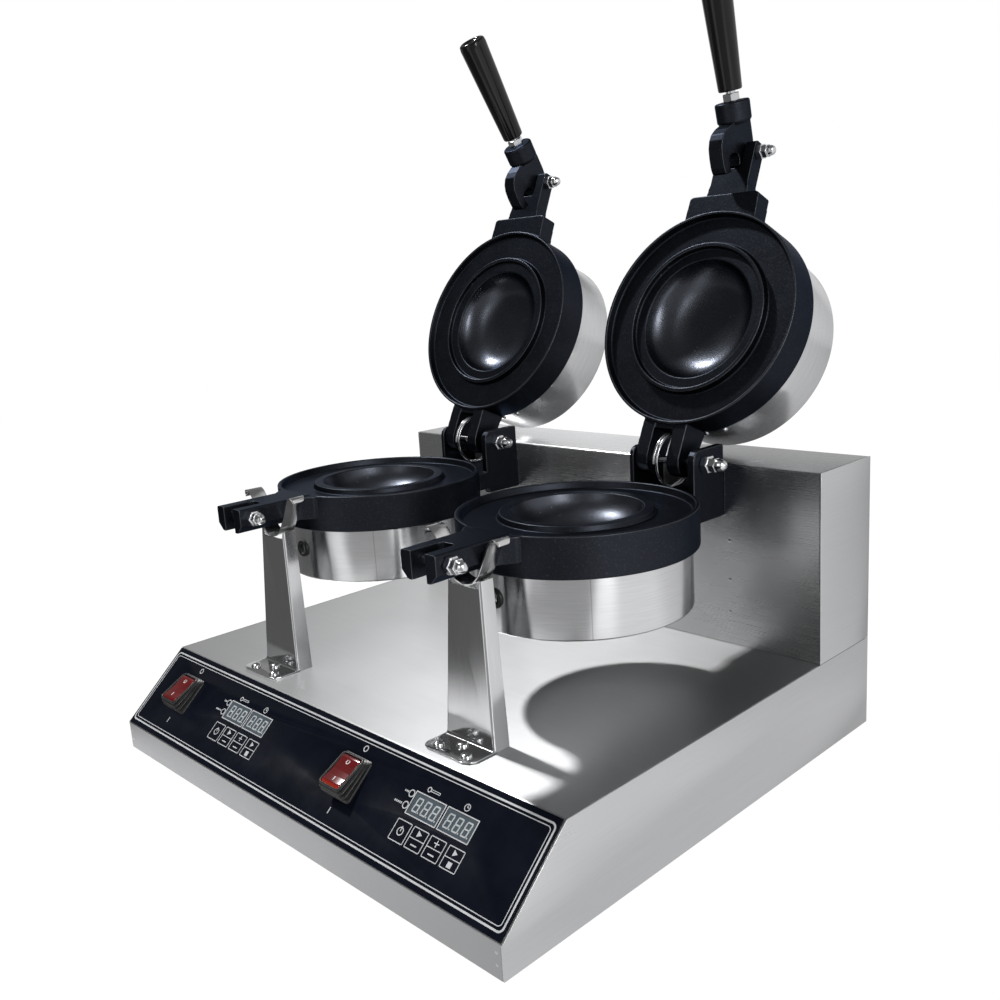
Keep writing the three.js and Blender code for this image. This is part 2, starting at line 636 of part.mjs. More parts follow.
function addStation(machine, { side, centreX, leverDeg }) {
  const piece = (group, name, solid, material) => add(group, `${side}_${name}`, solid, material);

  const fixed = subgroup(machine, [centreX, 0, 0]);
  piece(fixed, 'lower_plate', lowerPlate(), casting);
  piece(fixed, 'lower_drum', lowerDrum(), steel);
  piece(fixed, 'lower_heater', heater(185, LOWER_BOTTOM - 0.4), heaterMetal);
  piece(fixed, 'hinge_bolt', headedBolt({
    shank: [-34.9, 47], head: [-36.6, -32.6], y: HINGE_Y, z: HINGE_Z,
  }), brightSteel);
  piece(fixed, 'hinge_nut',
    hingeNut().translate([CHEEK_OUTER + 0.3, HINGE_Y, HINGE_Z]), brightSteel);
  piece(fixed, 'hinge_spring', hingeSpring(), springWire);
  piece(fixed, 'support_post', supportPost(), steel);
  piece(fixed, 'cradle_strap', cradleStrap(), brightSteel);
  piece(fixed, 'catch_bolt', headedBolt({
    shank: [-FORK_HALF - 2, 29], head: [-FORK_HALF - 4.2, -FORK_HALF - 0.2],
    y: CATCH_Y, z: CATCH_Z,
  }), brightSteel);
  piece(fixed, 'catch_nut',
    capNut().translate([FORK_HALF + 0.3, CATCH_Y, CATCH_Z]), brightSteel);

  // upper press, drawn shut and swung open about the hinge bolt
  const swing = subgroup(machine, [centreX, HINGE_Y, HINGE_Z], -radians(OPEN_DEG));
  const press = subgroup(swing, [0, -HINGE_Y, -HINGE_Z]);
  piece(press, 'upper_plate', upperPlate(), casting);
  piece(press, 'upper_drum', upperDrum(), steel);
  piece(press, 'upper_heater', heater(UPPER_BACK + 0.4, UPPER_BACK + 8), heaterMetal);
  piece(press, 'clevis_bolt', headedBolt({
    shank: [-20.5, 29.5], head: [-22.4, -18.6], y: CLEVIS_Y, z: CLEVIS_Z,
  }), brightSteel);
  piece(press, 'clevis_nut',
    capNut().translate([ARM_HALF + 0.4, CLEVIS_Y, CLEVIS_Z]), brightSteel);

  const latch = subgroup(press, [0, CLEVIS_Y, CLEVIS_Z], radians(leverDeg));
  piece(latch, 'latch_lever', latchLever(), casting);
  piece(latch, 'handle_stud', handleStud(), brightSteel);
  piece(latch, 'handle_grip', handleGrip(), blackPlastic);

  const slope = subgroup(machine, [centreX, -HALF_D, LIP_Z], SLOPE_ANGLE);
  piece(slope, 'switch_body', switchBody(), rubber);
  const rocker = subgroup(slope, [SWITCH_X, SWITCH_S, ROCKER_H], -radians(ROCKER_DEG));
  piece(rocker, 'switch_rocker', switchRocker(), redLens);
  piece(slope, 'display_board', displayBoard(), displayGrey);
}

const machine = new THREE.Group();
addBase(machine);
addRearBox(machine);
add(machine, 'control_overlay', controlOverlay(), membrane);
for (const station of STATIONS) addStation(machine, station);

export default machine;
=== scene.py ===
"""Two-station countertop press: a steel cabinet with a sloping control panel carries two
pairs of round castings with drum covers, each pair hinged at the back and latched at the front.

The panel faces -Y, the hinges lie at +Y, left is -X and +Z is up. Geometry is written in
millimetres and stored in metres. A station's own frame has x = 0 on its centre line; the
panel's frame runs x across, y up the slope and z out of it.
"""
import json
import math

import bmesh
import bpy
from mathutils import Matrix, Vector


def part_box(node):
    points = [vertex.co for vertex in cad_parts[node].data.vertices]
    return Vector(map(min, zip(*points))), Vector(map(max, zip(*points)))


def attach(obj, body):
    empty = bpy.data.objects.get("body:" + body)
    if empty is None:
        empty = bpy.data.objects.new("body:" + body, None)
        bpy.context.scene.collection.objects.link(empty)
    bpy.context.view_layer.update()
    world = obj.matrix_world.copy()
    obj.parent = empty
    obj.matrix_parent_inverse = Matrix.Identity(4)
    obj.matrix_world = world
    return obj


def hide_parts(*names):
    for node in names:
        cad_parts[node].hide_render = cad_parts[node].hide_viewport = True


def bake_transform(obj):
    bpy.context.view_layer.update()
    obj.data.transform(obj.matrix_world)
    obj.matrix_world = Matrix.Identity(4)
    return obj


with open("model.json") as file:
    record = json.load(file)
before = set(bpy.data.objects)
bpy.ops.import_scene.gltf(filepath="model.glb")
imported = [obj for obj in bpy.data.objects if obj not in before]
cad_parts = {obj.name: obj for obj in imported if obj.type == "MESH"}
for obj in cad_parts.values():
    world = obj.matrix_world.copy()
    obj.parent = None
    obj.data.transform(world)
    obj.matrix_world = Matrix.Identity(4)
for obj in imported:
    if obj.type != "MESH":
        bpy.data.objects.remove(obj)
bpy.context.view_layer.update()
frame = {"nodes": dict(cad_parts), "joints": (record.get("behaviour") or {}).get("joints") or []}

MM = 0.001
PI = math.pi
scene = bpy.context.scene
link = scene.collection.objects.link

# ------------------------------------------------------------------ driving dimensions
SIDES = ("left", "right")
joints = {joint["name"]: joint for joint in frame["joints"]}
STATION_X = {side: joints[side + "_press_hinge"]["pos_m"][0] / MM for side in SIDES}
HINGE_Y, HINGE_Z = (v / MM for v in joints["left_press_hinge"]["pos_m"][1:])
OPEN_ANGLE = joints["left_press_hinge"]["range_deg"][1]
HALF_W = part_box("base_side_right")[1].x / MM
HALF_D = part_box("base_shell")[1].y / MM
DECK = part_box("base_shell")[1].z / MM          # top of the cabinet
BOX_FRONT, BOX_BOTTOM = (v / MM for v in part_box("rear_box")[0].yz)
BOX_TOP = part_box("rear_box")[1].z / MM
LIP = 24.0                                     # height where the sloping panel starts
SLOPE_RUN = 59.0                               # depth of the slope
SLOPE_ANGLE = math.atan2(DECK - LIP, SLOPE_RUN)

PLATE_Y = -7.5                                 # centre of the round plates
DRUM_R = 86.0
UPPER_DRUM_R, UPPER_DRUM_SHIFT = 87.0, 3.5     # shift of the upper drum, towards the back
BOWL_R = 50.5
GROMMET_X, GROMMET_Z = -3, 173.5
CLEVIS_Y, CLEVIS_Z = -155.0, 238.0             # latch pivot on the upper casting
CATCH_Y, CATCH_Z = -151, 215.8                 # catch bolt on the lower casting
PIN_BORE = 3.35                                # bore radius of moving parts and nuts
LEVER_ANGLE = {"left": 234.0, "right": 217.3}
SWITCH_X, SWITCH_Y, ROCKER_Z = -66.5, 43.3, 5.2   # rocker pivot in the panel frame
ROCKER_TILT = -13.4
POST_SCREWS = ((-14, -146), (0.5, -136.5), (15, -146.5))   # x, y
SHEET = 1.2


def at(x, y, z):
    return Matrix.Translation((x * MM, y * MM, z * MM))


def tilt(degrees):
    return Matrix.Rotation(math.radians(degrees), 4, "X")


def spin(radians):
    return Matrix.Rotation(radians, 4, "Z")


def station_place(side):
    return at(STATION_X[side], 0, 0)


def panel_place(x):
    return at(x, -HALF_D, LIP) @ tilt(math.degrees(SLOPE_ANGLE))


def press_place(side):
    """The upper half, swung open about the hinge."""
    return (at(STATION_X[side], HINGE_Y, HINGE_Z) @ tilt(-OPEN_ANGLE)
            @ at(0, -HINGE_Y, -HINGE_Z))


def latch_place(side):
    return press_place(side) @ at(0, CLEVIS_Y, CLEVIS_Z) @ tilt(LEVER_ANGLE[side])


def rocker_place(side):
    return panel_place(STATION_X[side]) @ at(SWITCH_X, SWITCH_Y, ROCKER_Z) @ tilt(ROCKER_TILT)


# ------------------------------------------------------------------ mesh kit
def mesh_object(verts, faces):
    mesh = bpy.data.meshes.new("t")
    mesh.from_pydata([(x * MM, y * MM, z * MM) for x, y, z in verts], [], faces)
    bm = bmesh.new()
    bm.from_mesh(mesh)
    bmesh.ops.remove_doubles(bm, verts=bm.verts, dist=1e-7)
    bmesh.ops.recalc_face_normals(bm, faces=bm.faces)
    bm.to_mesh(mesh)
    bm.free()
    return new_object(mesh)


def new_object(mesh):
    part = bpy.data.objects.new("t", mesh)
    link(part)
    return part


def bake(part):
    """Apply the part's modifiers."""
    graph = bpy.context.evaluated_depsgraph_get()
    mesh = bpy.data.meshes.new_from_object(part.evaluated_get(graph), depsgraph=graph)
    old = part.data
    part.modifiers.clear()
    part.data = mesh
    bpy.data.meshes.remove(old)
    return part


def drop(part):
    mesh = part.data
    bpy.data.objects.remove(part)
    if mesh.users == 0:
        bpy.data.meshes.remove(mesh)


def boolean(part, tools, operation):
    for tool in tools:
        modifier = part.modifiers.new("boolean", "BOOLEAN")
        modifier.operation = operation
        modifier.object = tool
        modifier.solver = "MANIFOLD"
        bake(part)
        drop(tool)
    return part


def cut(part, *tools):
    return boolean(part, tools, "DIFFERENCE")


def fuse(part, *tools):
    return boolean(part, tools, "UNION")


def common(part, *tools):
    return boolean(part, tools, "INTERSECT")


def merge(first, *others):
    """Separate closed shells in one mesh."""
    bm = bmesh.new()
    for part in (first,) + others:
        bm.from_mesh(part.data)
    bm.to_mesh(first.data)
    bm.free()
    for part in others:
        drop(part)
    return first


def bevel(part, width, segments=2, angle=35):
    modifier = part.modifiers.new("bevel", "BEVEL")
    modifier.width = width * MM
    modifier.segments = segments
    modifier.limit_method = "ANGLE"
    modifier.angle_limit = math.radians(angle)
    modifier.use_clamp_overlap = True
    return bake(part)


def cast(part, voxel, rounds):
    """Cast skin: the solid's edges run into each other with small fillets."""
    remesh = part.modifiers.new("remesh", "REMESH")
    remesh.mode = "VOXEL"
    remesh.voxel_size = voxel * MM
    remesh.use_smooth_shade = True
    smooth = part.modifiers.new("smooth", "SMOOTH")
    smooth.factor = 0.5
    smooth.iterations = rounds
    return bake(part)


def turn(part, matrix):
    part.data.transform(matrix)
    return part


def rounded(points, steps=4, closed=True):
    """The outline (x, y[, fillet radius]) with its fillets drawn as arcs."""
    out = []
    count = len(points)
    for i, point in enumerate(points):
        radius = point[2] if len(point) > 2 else 0
        corner = Vector(point[:2])
        if radius <= 0 or (not closed and i in (0, count - 1)):
            out.append((corner.x, corner.y))
            continue
        back = Vector(points[i - 1][:2]) - corner
        ahead = Vector(points[(i + 1) % count][:2]) - corner
        back_length, ahead_length = back.length, ahead.length
        back.normalize()
        ahead.normalize()
        half = math.acos(max(-1, min(1, back.dot(ahead)))) / 2
        if half > PI / 2 - 0.02:
            out.append((corner.x, corner.y))
            continue
        reach = min(radius / math.tan(half), back_length * 0.49, ahead_length * 0.49)
        radius = reach * math.tan(half)
        center = corner + (back + ahead).normalized() * (radius / math.sin(half))
        start, end = corner + back * reach - center, corner + ahead * reach - center
        angle = math.atan2(start.y, start.x)
        sweep = (math.atan2(end.y, end.x) - angle + PI) % (2 * PI) - PI
        for k in range(steps + 1):
            t = angle + sweep * k / steps
            out.append((center.x + radius * math.cos(t), center.y + radius * math.sin(t)))
    return out


def spline(points, steps=5):
    """Smooth open curve through the points."""
    out = []
    P = [Vector(p) for p in points]
    for i in range(len(P) - 1):
        p0, p1, p2, p3 = P[max(0, i - 1)], P[i], P[i + 1], P[min(len(P) - 1, i + 2)]
        for k in range(steps):
            t = k / steps
            out.append(tuple(0.5 * (2 * p1 + (p2 - p0) * t
                                    + (2 * p0 - 5 * p1 + 4 * p2 - p3) * t * t
                                    + (3 * p1 - p0 - 3 * p2 + p3) * t ** 3)))
    out.append(tuple(P[-1]))
    return out


def circle(x, y, radius_x, radius_y, count):
    return [(x + radius_x * math.cos(2 * PI * k / count),
             y + radius_y * math.sin(2 * PI * k / count)) for k in range(count)]


# Where an outline point (a, b) at height t along the axis lies in space.
AXES = {
    "X": lambda a, b, t: (t, a, b),
    "Y": lambda a, b, t: (a, t, b),
    "Z": lambda a, b, t: (a, b, t),
}


def prism(axis, points, low, high, steps=4):
    points = rounded(points, steps)
    place = AXES[axis]
    N = len(points)
    verts = [place(a, b, low) for a, b in points] + [place(a, b, high) for a, b in points]
    faces = [list(range(N)), list(range(2 * N - 1, N - 1, -1))]
    faces += [(i, (i + 1) % N, N + (i + 1) % N, N + i) for i in range(N)]
    return mesh_object(verts, faces)


def ring_prism(outer, inner, low, high):
    """Upright band between two outlines with the same number of points."""
    N = len(outer)
    verts = [(a, b, t) for t in (low, high) for outline in (outer, inner) for a, b in outline]
    faces = []
    for i in range(N):
        j = (i + 1) % N
        faces += [(i, j, N + j, N + i), (2 * N + i, 3 * N + i, 3 * N + j, 2 * N + j),
                  (i, 2 * N + i, 2 * N + j, j), (N + i, N + j, 3 * N + j, 3 * N + i)]
    return mesh_object(verts, faces)


def round_rect(x0, x1, y0, y1, radius, steps=5):
    return rounded([(x0, y0, radius), (x1, y0, radius), (x1, y1, radius), (x0, y1, radius)],
                   steps)


def block(x0, x1, y0, y1, z0, z1):
    return prism("Z", [(x0, y0), (x1, y0), (x1, y1), (x0, y1)], z0, z1)


def lathe(profile, segments, axis="Z", center=(0, 0, 0), closed=False):
    """profile of (radius, height[, fillet]); open profiles start and end on the axis."""
    verts, rows = [], []
    for radius, height in rounded(profile, closed=closed):
        row = []
        for k in range(1 if radius < 1e-6 else segments):
            angle = 2 * PI * k / segments
            a, b = radius * math.cos(angle), radius * math.sin(angle)
            row.append(len(verts))
            verts.append(tuple(v + c for v, c in zip(AXES[axis](a, b, height), center)))
        rows.append(row)
    faces = []
    for a, b in list(zip(rows, rows[1:])) + ([(rows[-1], rows[0])] if closed else []):
        for k in range(segments):
            quad = [a[k % len(a)], a[(k + 1) % len(a)], b[(k + 1) % len(b)], b[k % len(b)]]
            quad = [v for i, v in enumerate(quad) if v not in quad[:i]]
            if len(quad) > 2:
                faces.append(quad)
    return mesh_object(verts, faces)


def rod(axis, radius, low, high, a, b, segments=32):
    return lathe([(0, low), (radius, low), (radius, high), (0, high)], segments, axis,
                 AXES[axis](a, b, 0))


def plate_lathe(profile, segments=192, shift=0.0, closed=False):
    """Turned about the upright axis of the round plates."""
    return lathe(profile, segments, "Z", (0, PLATE_Y + shift, 0), closed)


def plate_cylinder(radius, z0, z1):
    return plate_lathe([(0, z0), (radius, z0), (radius, z1), (0, z1)])


def loft(sections):
    """sections: lists of the same number of 3-D points."""
    N = len(sections[0])
    verts = [p for section in sections for p in section]
    faces = [list(range(N)), list(range(len(verts) - 1, len(verts) - N - 1, -1))]
    for k in range(len(sections) - 1):
        for i in range(N):
            j = (i + 1) % N
            faces.append((k * N + i, k * N + j, (k + 1) * N + j, (k + 1) * N + i))
    return mesh_object(verts, faces)


def tube(path, radius, sides):
    P = [Vector(p) for p in path]
    normal = Vector((1, 0, 0))
    rings = []
    for i, p in enumerate(P):
        ahead = (P[min(i + 1, len(P) - 1)] - P[max(i - 1, 0)]).normalized()
        normal = (normal - ahead * normal.dot(ahead)).normalized()
        across = ahead.cross(normal)
        rings.append([
            tuple(p + (normal * math.cos(2 * PI * k / sides)
                       + across * math.sin(2 * PI * k / sides)) * radius)
            for k in range(sides)])
    return loft(rings)


def hex_nut(flats, x0, x1):
    """Hexagon along X, `flats` across its flats, with turned corners."""
    corner = flats / math.sqrt(3)
    face = flats / 2 * 0.94
    depth = (corner - face) * 0.55
    verts = [(x, corner * math.cos(PI / 3 * k), corner * math.sin(PI / 3 * k))
             for x in (x0, x1) for k in range(6)]
    sides = [(i, (i + 1) % 6, 6 + (i + 1) % 6, 6 + i) for i in range(6)]
    body = mesh_object(verts, [list(range(6)), list(range(11, 5, -1))] + sides)
    outer = corner + 0.05
    return common(body, lathe([(0, x0), (face, x0), (outer, x0 + depth), (outer, x1 - depth),
                               (face, x1), (0, x1)], 48, "X"))


def from_cad(node):
    """A clean copy of a CAD node's own solid, to be bevelled."""
    mesh = frame["nodes"][node].data.copy()
    mesh.materials.clear()
    part = new_object(mesh)
    bm = bmesh.new()
    bm.from_mesh(mesh)
    bmesh.ops.remove_doubles(bm, verts=bm.verts, dist=1e-6)
    bmesh.ops.dissolve_limit(bm, angle_limit=math.radians(0.5), verts=bm.verts,
                             edges=bm.edges)
    bm.to_mesh(mesh)
    bm.free()
    return part


# ------------------------------------------------------------------ shader kit
class Value:
    """A shader output; arithmetic on it adds math nodes."""

    def __init__(self, shader, socket):
        self.shader = shader
        self.socket = socket

    def __add__(self, other):
        return self.shader.math("ADD", self, other)

    def __sub__(self, other):
        return self.shader.math("SUBTRACT", self, other)

    def __rsub__(self, other):
        return self.shader.math("SUBTRACT", other, self)

    def __mul__(self, other):
        return self.shader.math("MULTIPLY", self, other)

    def __truediv__(self, other):
        return self.shader.math("DIVIDE", self, other)


class Shader:
    """The node tree of a material or world. Inputs take a Value, a number or a tuple."""

    def __init__(self, owner):
        owner.use_nodes = True
        self.nodes = owner.node_tree.nodes
        self.link = owner.node_tree.links.new

    def fill(self, node, inputs):
        for key, value in inputs.items():
            socket = node.inputs[key]
            if isinstance(value, Value):
                self.link(value.socket, socket)
            elif socket.type == "RGBA" and len(value) == 3:
                socket.default_value = (*value, 1)
            else:
                socket.default_value = value

    def node(self, kind, inputs, **settings):
        node = self.nodes.new("ShaderNode" + kind)
        for name, value in settings.items():
            setattr(node, name, value)
        self.fill(node, inputs)
        return node

    def value(self, kind, inputs={}, output=0, **settings):
        return Value(self, self.node(kind, inputs, **settings).outputs[output])

    def surface(self, inputs):
        self.fill(self.nodes["Principled BSDF"], inputs)

    def math(self, operation, *operands):
        return self.value("Math", dict(enumerate(operands)), operation=operation)

    def coords(self, output):
        return self.value("TexCoord", output=output)

    def split(self, vector):
        node = self.node("SeparateXYZ", {0: vector})
        return [Value(self, socket) for socket in node.outputs]

    def mix(self, factor, a, b):
        return self.value("Mix", {0: factor, 6: a, 7: b}, output=2, data_type="RGBA")

    def mix_shaders(self, factor, a, b):
        return self.value("MixShader", {0: factor, 1: a, 2: b})

    def noise(self, vector, scale, detail, roughness):
        return self.value("TexNoise", {"Vector": vector, "Scale": scale, "Detail": detail,
                                       "Roughness": roughness})

    def stretch(self, vector, scale):
        return self.value("Mapping", {"Vector": vector, "Scale": scale})

    def bump(self, height, strength, distance, normal=None):
        inputs = {"Height": height, "Strength": strength, "Distance": distance}
        if normal is not None:
            inputs["Normal"] = normal
        return self.value("Bump", inputs)

    def grey_ramp(self, factor, stops):
        """stops of (position, grey)."""
        node = self.node("ValToRGB", {0: factor})
        elements = node.color_ramp.elements
        while len(elements) > 1:
            elements.remove(elements[-1])
        for i, (position, level) in enumerate(stops):
            element = elements.new(position) if i else elements[0]
            element.position = position
            element.color = (*grey(level), 1)
        return Value(self, node.outputs[0])

    def heading(self, x, y):
        """Angle about Z: 0 is the front (-Y), positive turns to the right (+X)."""
        return self.math("ARCTAN2", x, y * -1.0)

    def compass(self, x, y):
        """Heading as 0 to 1, with the front at 0.5."""
        return self.heading(x, y) / (2 * PI) + 0.5

    def compass_ramp(self, compass, stops):
        """stops of (heading in degrees, grey)."""
        return self.grey_ramp(compass, [(0.5 + angle / 360.0, v) for angle, v in stops])

    def polar(self, place, center):
        """(arc length, height, radius) about an upright axis, and the heading."""
        x, y, z = self.split(place)
        x = x - center[0] * MM
        y = y - center[1] * MM
        angle = self.heading(x, y)
        radius = self.math("SQRT", x * x + y * y)
        return self.value("CombineXYZ", {0: angle * (DRUM_R * MM), 1: z, 2: radius}), angle


def grey(level):
    return (level, level, level * 1.01)


def times(tone, factor):
    return tuple(c * factor for c in tone)


def new_material(name):
    made = bpy.data.materials.new(name)
    shader = Shader(made)
    return made, shader, shader.coords("Object")


# ------------------------------------------------------------------ materials
# Per direction of the streaks: tangent, noise scale of fine streaks, of broad streaks.
GRAINS = {
    "along_x": ((0, 1, 0.02), (14, 700, 700), (5, 120, 120)),
    "along_y": ((0.02, 0, 1), (700, 14, 700), (120, 5, 120)),
    "along_z": ((1, 1, 0.0), (700, 700, 14), (120, 120, 5)),
    "around": ((0, 0, 1), (34, 900, 60), (7, 110, 20)),
}


def brushed(name, grain, tone, roughness, anisotropy, streak, smudge=0.05, seam=None,
            center_y=PLATE_Y):
    """Brushed sheet steel; seam is the heading in degrees of a thin dark upright line."""
    made, sh, place = new_material(name)
    tangent, fine_scale, broad_scale = GRAINS[grain]
    grained = place
    if grain == "around":
        grained, angle = sh.polar(place, (0, center_y))
    fine_place, broad_place = sh.stretch(grained, fine_scale), sh.stretch(grained, broad_scale)
    fine = sh.noise(fine_place, scale=1.0, detail=5, roughness=0.65)
    broad = sh.noise(broad_place, scale=1.0, detail=3, roughness=0.5)
    cloud = sh.noise(place, scale=14.0, detail=3, roughness=0.55)

    contrast = 0.16 * streak
    color = sh.mix(fine, times(tone, 1 - contrast), times(tone, 1 + contrast))
    broad_amount, broad_shade = 0.4, 0.92
    color = sh.mix(broad * broad_amount, color, times(tone, broad_shade))
    if seam is not None:
        narrowness, darkness, seam_color = 130.0, 0.45, (0.25, 0.25, 0.25)
        distance = sh.math("ABSOLUTE", angle - math.radians(seam))
        line = 1.0 - sh.math("MINIMUM", distance * narrowness, 1.0)
        color = sh.mix(line * darkness, color, seam_color)

    rough_range = 0.12 * streak
    rough = fine * rough_range + (roughness - 0.06 * streak)
    rough = rough + (cloud - 0.5) * (smudge * 2)
    direction = sh.value("CombineXYZ", dict(enumerate(tangent)))
    direction = sh.value("VectorTransform", {0: direction}, vector_type="VECTOR",
                         convert_from="OBJECT", convert_to="WORLD")
    normal = sh.bump(fine, strength=0.05 * streak, distance=0.0002)
    normal = sh.bump(cloud, strength=0.06, distance=0.0010, normal=normal)
    sh.surface({"Base Color": color, "Metallic": 1.0, "Anisotropic": anisotropy,
                "Roughness": rough, "Tangent": direction, "Normal": normal})
    return made


def bright(name, tone=(0.74, 0.75, 0.76), roughness=0.14, grain=900):
    """Plated or polished metal."""
    made, sh, place = new_material(name)
    fine = sh.noise(place, scale=grain, detail=4, roughness=0.6)
    broad = sh.noise(place, scale=120, detail=3, roughness=0.6)
    dull = 0.82
    rough_range = 0.12
    sh.surface({"Base Color": sh.mix(broad, times(tone, dull), tone), "Metallic": 1.0,
                "Roughness": fine * rough_range + (roughness - 0.05),
                "Normal": sh.bump(fine, strength=0.12, distance=0.0001)})
    return made


def coated(name, grain=780.0, roughness=0.42, relief=0.75, bowl_shine=None):
    """Satin non-stick coating over a sandy casting; crests and edges carry a painted highlight,
    bowls are smoother.
    """
    tone = (0.021, 0.0235, 0.0295)
    made, sh, place = new_material(name)
    sand = sh.noise(place, scale=grain, detail=3, roughness=0.55)
    cloud = sh.noise(place, scale=45, detail=4, roughness=0.6)
    ripple = sh.noise(place, scale=420, detail=2, roughness=0.5)

    # painted highlight on crests and edges: pointiness above the threshold, broken up by the
    # cloud
    threshold, gain, limit, edge_highlight_color = 0.518, 14.0, 0.8, (0.20, 0.21, 0.225)
    pointiness = sh.value("NewGeometry", output="Pointiness")
    edge_highlight = sh.math("MAXIMUM", pointiness - threshold, 0.0) * gain
    edge_highlight = sh.math("MINIMUM", edge_highlight * (cloud + 0.35), limit)
    color = sh.mix(cloud, times(tone, 0.72), times(tone, 1.3))
    sand_amount, sand_light = 0.35, 1.9
    color = sh.mix(sand * sand_amount, color, times(tone, sand_light))
    # light specks on the highest grains
    threshold, gain, limit, speck_color = 0.58, 2.2, 0.35, (0.09, 0.096, 0.11)
    speck = sh.math("MAXIMUM", sand - threshold, 0.0) * gain
    color = sh.mix(sh.math("MINIMUM", speck, limit), color, speck_color)
    # lay the painted edge highlight over the colour
    color = sh.mix(edge_highlight, color, edge_highlight_color)

    sand_range, cloud_range = 0.14, 0.10
    rough = sand * sand_range + (roughness - 0.07)
    rough = rough + (cloud - 0.5) * cloud_range
    if bowl_shine is not None:
        tint_amount, tint = 0.09, (0.62, 0.66, 0.76)
        radius = sh.split(sh.polar(place, (0, PLATE_Y))[0])[2]
        inside = sh.math("LESS_THAN", radius, BOWL_R * MM)
        rough = rough - inside * bowl_shine
        color = sh.mix(inside * tint_amount, color, tint)
    normal = sh.bump(sand, strength=relief, distance=0.00010)
    normal = sh.bump(ripple, strength=0.10, distance=0.0004, normal=normal)
    normal = sh.bump(cloud, strength=0.04, distance=0.0006, normal=normal)
    sh.surface({"Base Color": color, "Metallic": 1.0, "Roughness": rough, "Normal": normal,
                "Specular Tint": (0.44, 0.465, 0.52, 1)})
    return made


def plastic(name, tone, roughness, grain, relief, specular=0.5):
    made, sh, place = new_material(name)
    fine = sh.noise(place, scale=grain, detail=3, roughness=0.6)
    broad = sh.noise(place, scale=60, detail=3, roughness=0.6)
    dark, light = 0.7, 1.3
    sh.surface({"Base Color": sh.mix(broad, times(tone, dark), times(tone, light)),
                "Roughness": broad * (roughness * 0.7) + roughness * 0.65,
                "Specular IOR Level": specular, "Coat Roughness": 0.05,
                "Normal": sh.bump(fine, strength=relief, distance=0.0003)})
    return made


def red_cap(name, glow):
    """Translucent red cap, lit from within towards its lower end."""
    made, sh, place = new_material(name)
    y = sh.split(place)[1]
    cloud = sh.noise(place, scale=90, detail=3, roughness=0.6)
    per_metre, glow_start, rest_glow, warmth = 40.0, 0.40, 0.06, 1.4
    along = y * per_metre
    color = sh.mix(cloud, (0.035, 0.0006, 0.001), (0.13, 0.0016, 0.003))
    light = sh.math("MAXIMUM", along * -1.0 - glow_start, 0.0) * glow
    sh.surface({
        "Base Color": color, "Roughness": 0.16, "Coat Weight": 0.6, "Coat Roughness": 0.06,
        "Subsurface Weight": 0.12, "Subsurface Radius": (0.004, 0.0006, 0.0004),
        "Subsurface Scale": 1.0,
        "Emission Strength": light + rest_glow,
        "Emission Color": sh.mix(sh.math("MINIMUM", light * warmth, 1.0),
                                 (0.8, 0.01, 0.01), (1.0, 0.18, 0.03)),
        "Normal": sh.bump(cloud, strength=0.05, distance=0.0004),
    })
    return made


STEEL_DECK = brushed("steel_deck", "along_x", tone=(0.46, 0.464, 0.468), roughness=0.41,
                     anisotropy=0.78, streak=0.5, smudge=0.02)
STEEL_SIDE = brushed("steel_side", "along_y", tone=(0.60, 0.605, 0.61), roughness=0.30,
                     anisotropy=0.3, streak=0.55)
STEEL_BOX = brushed("steel_box", "along_x", tone=(0.56, 0.565, 0.57), roughness=0.27,
                    anisotropy=0.85, streak=0.35, smudge=0.015)
STEEL_DRUM = brushed("steel_drum", "around", tone=(0.66, 0.665, 0.67), roughness=0.20,
                     anisotropy=0.80, streak=0.9, seam=47.0)
STEEL_DRUM_TOP = brushed("steel_drum_top", "around", tone=(0.66, 0.665, 0.67),
                         roughness=0.18, anisotropy=0.80, streak=1.1, seam=47.0,
                         center_y=PLATE_Y + UPPER_DRUM_SHIFT)
STEEL_POST = brushed("steel_post", "along_z", tone=(0.62, 0.625, 0.63), roughness=0.13,
                     anisotropy=0.3, streak=0.6)
BRIGHT = bright("bright_plated")
STRAP = bright("strap_steel", tone=(0.70, 0.70, 0.70), roughness=0.17, grain=500)
SPRING = bright("spring_wire", tone=(0.55, 0.56, 0.57), roughness=0.2, grain=1500)
COATED = coated("coated_casting", bowl_shine=0.14)
COATED_LOW = coated("coated_casting_lower", bowl_shine=0.07)
COATED_LEVER = coated("coated_lever", grain=950.0, roughness=0.40, relief=0.5)

# name: tone, roughness, grain, relief, specular level
PLASTICS = {
    "phenolic_grip": ((0.004, 0.0042, 0.005), 0.13, 200, 0.015, 0.35),
    "black_rubber": ((0.010, 0.010, 0.011), 0.42, 900, 0.12),
    "black_socket": ((0.012, 0.012, 0.013), 0.3, 700, 0.06),
    "membrane_navy": ((0.0040, 0.0056, 0.0115), 0.32, 900, 0.06, 0.10),
    "white_ink": ((0.62, 0.63, 0.64), 0.4, 1200, 0.05),
    "display_window": ((0.085, 0.105, 0.125), 0.22, 500, 0.03),
    "display_digit": ((0.52, 0.55, 0.56), 0.35, 500, 0.03),
    "heater_alloy": ((0.35, 0.34, 0.32), 0.5, 300, 0.2),
}
GRIP, RUBBER, SOCKET, MEMBRANE, INK, WINDOW, DIGIT, HEATER = (
    plastic(name, *look) for name, look in PLASTICS.items())
RED = {"left": red_cap("red_cap_dark", glow=0.25), "right": red_cap("red_cap_lit", glow=2.6)}
MARK = plastic("mark_white", tone=(0.75, 0.72, 0.70), roughness=0.35, grain=900, relief=0.03)

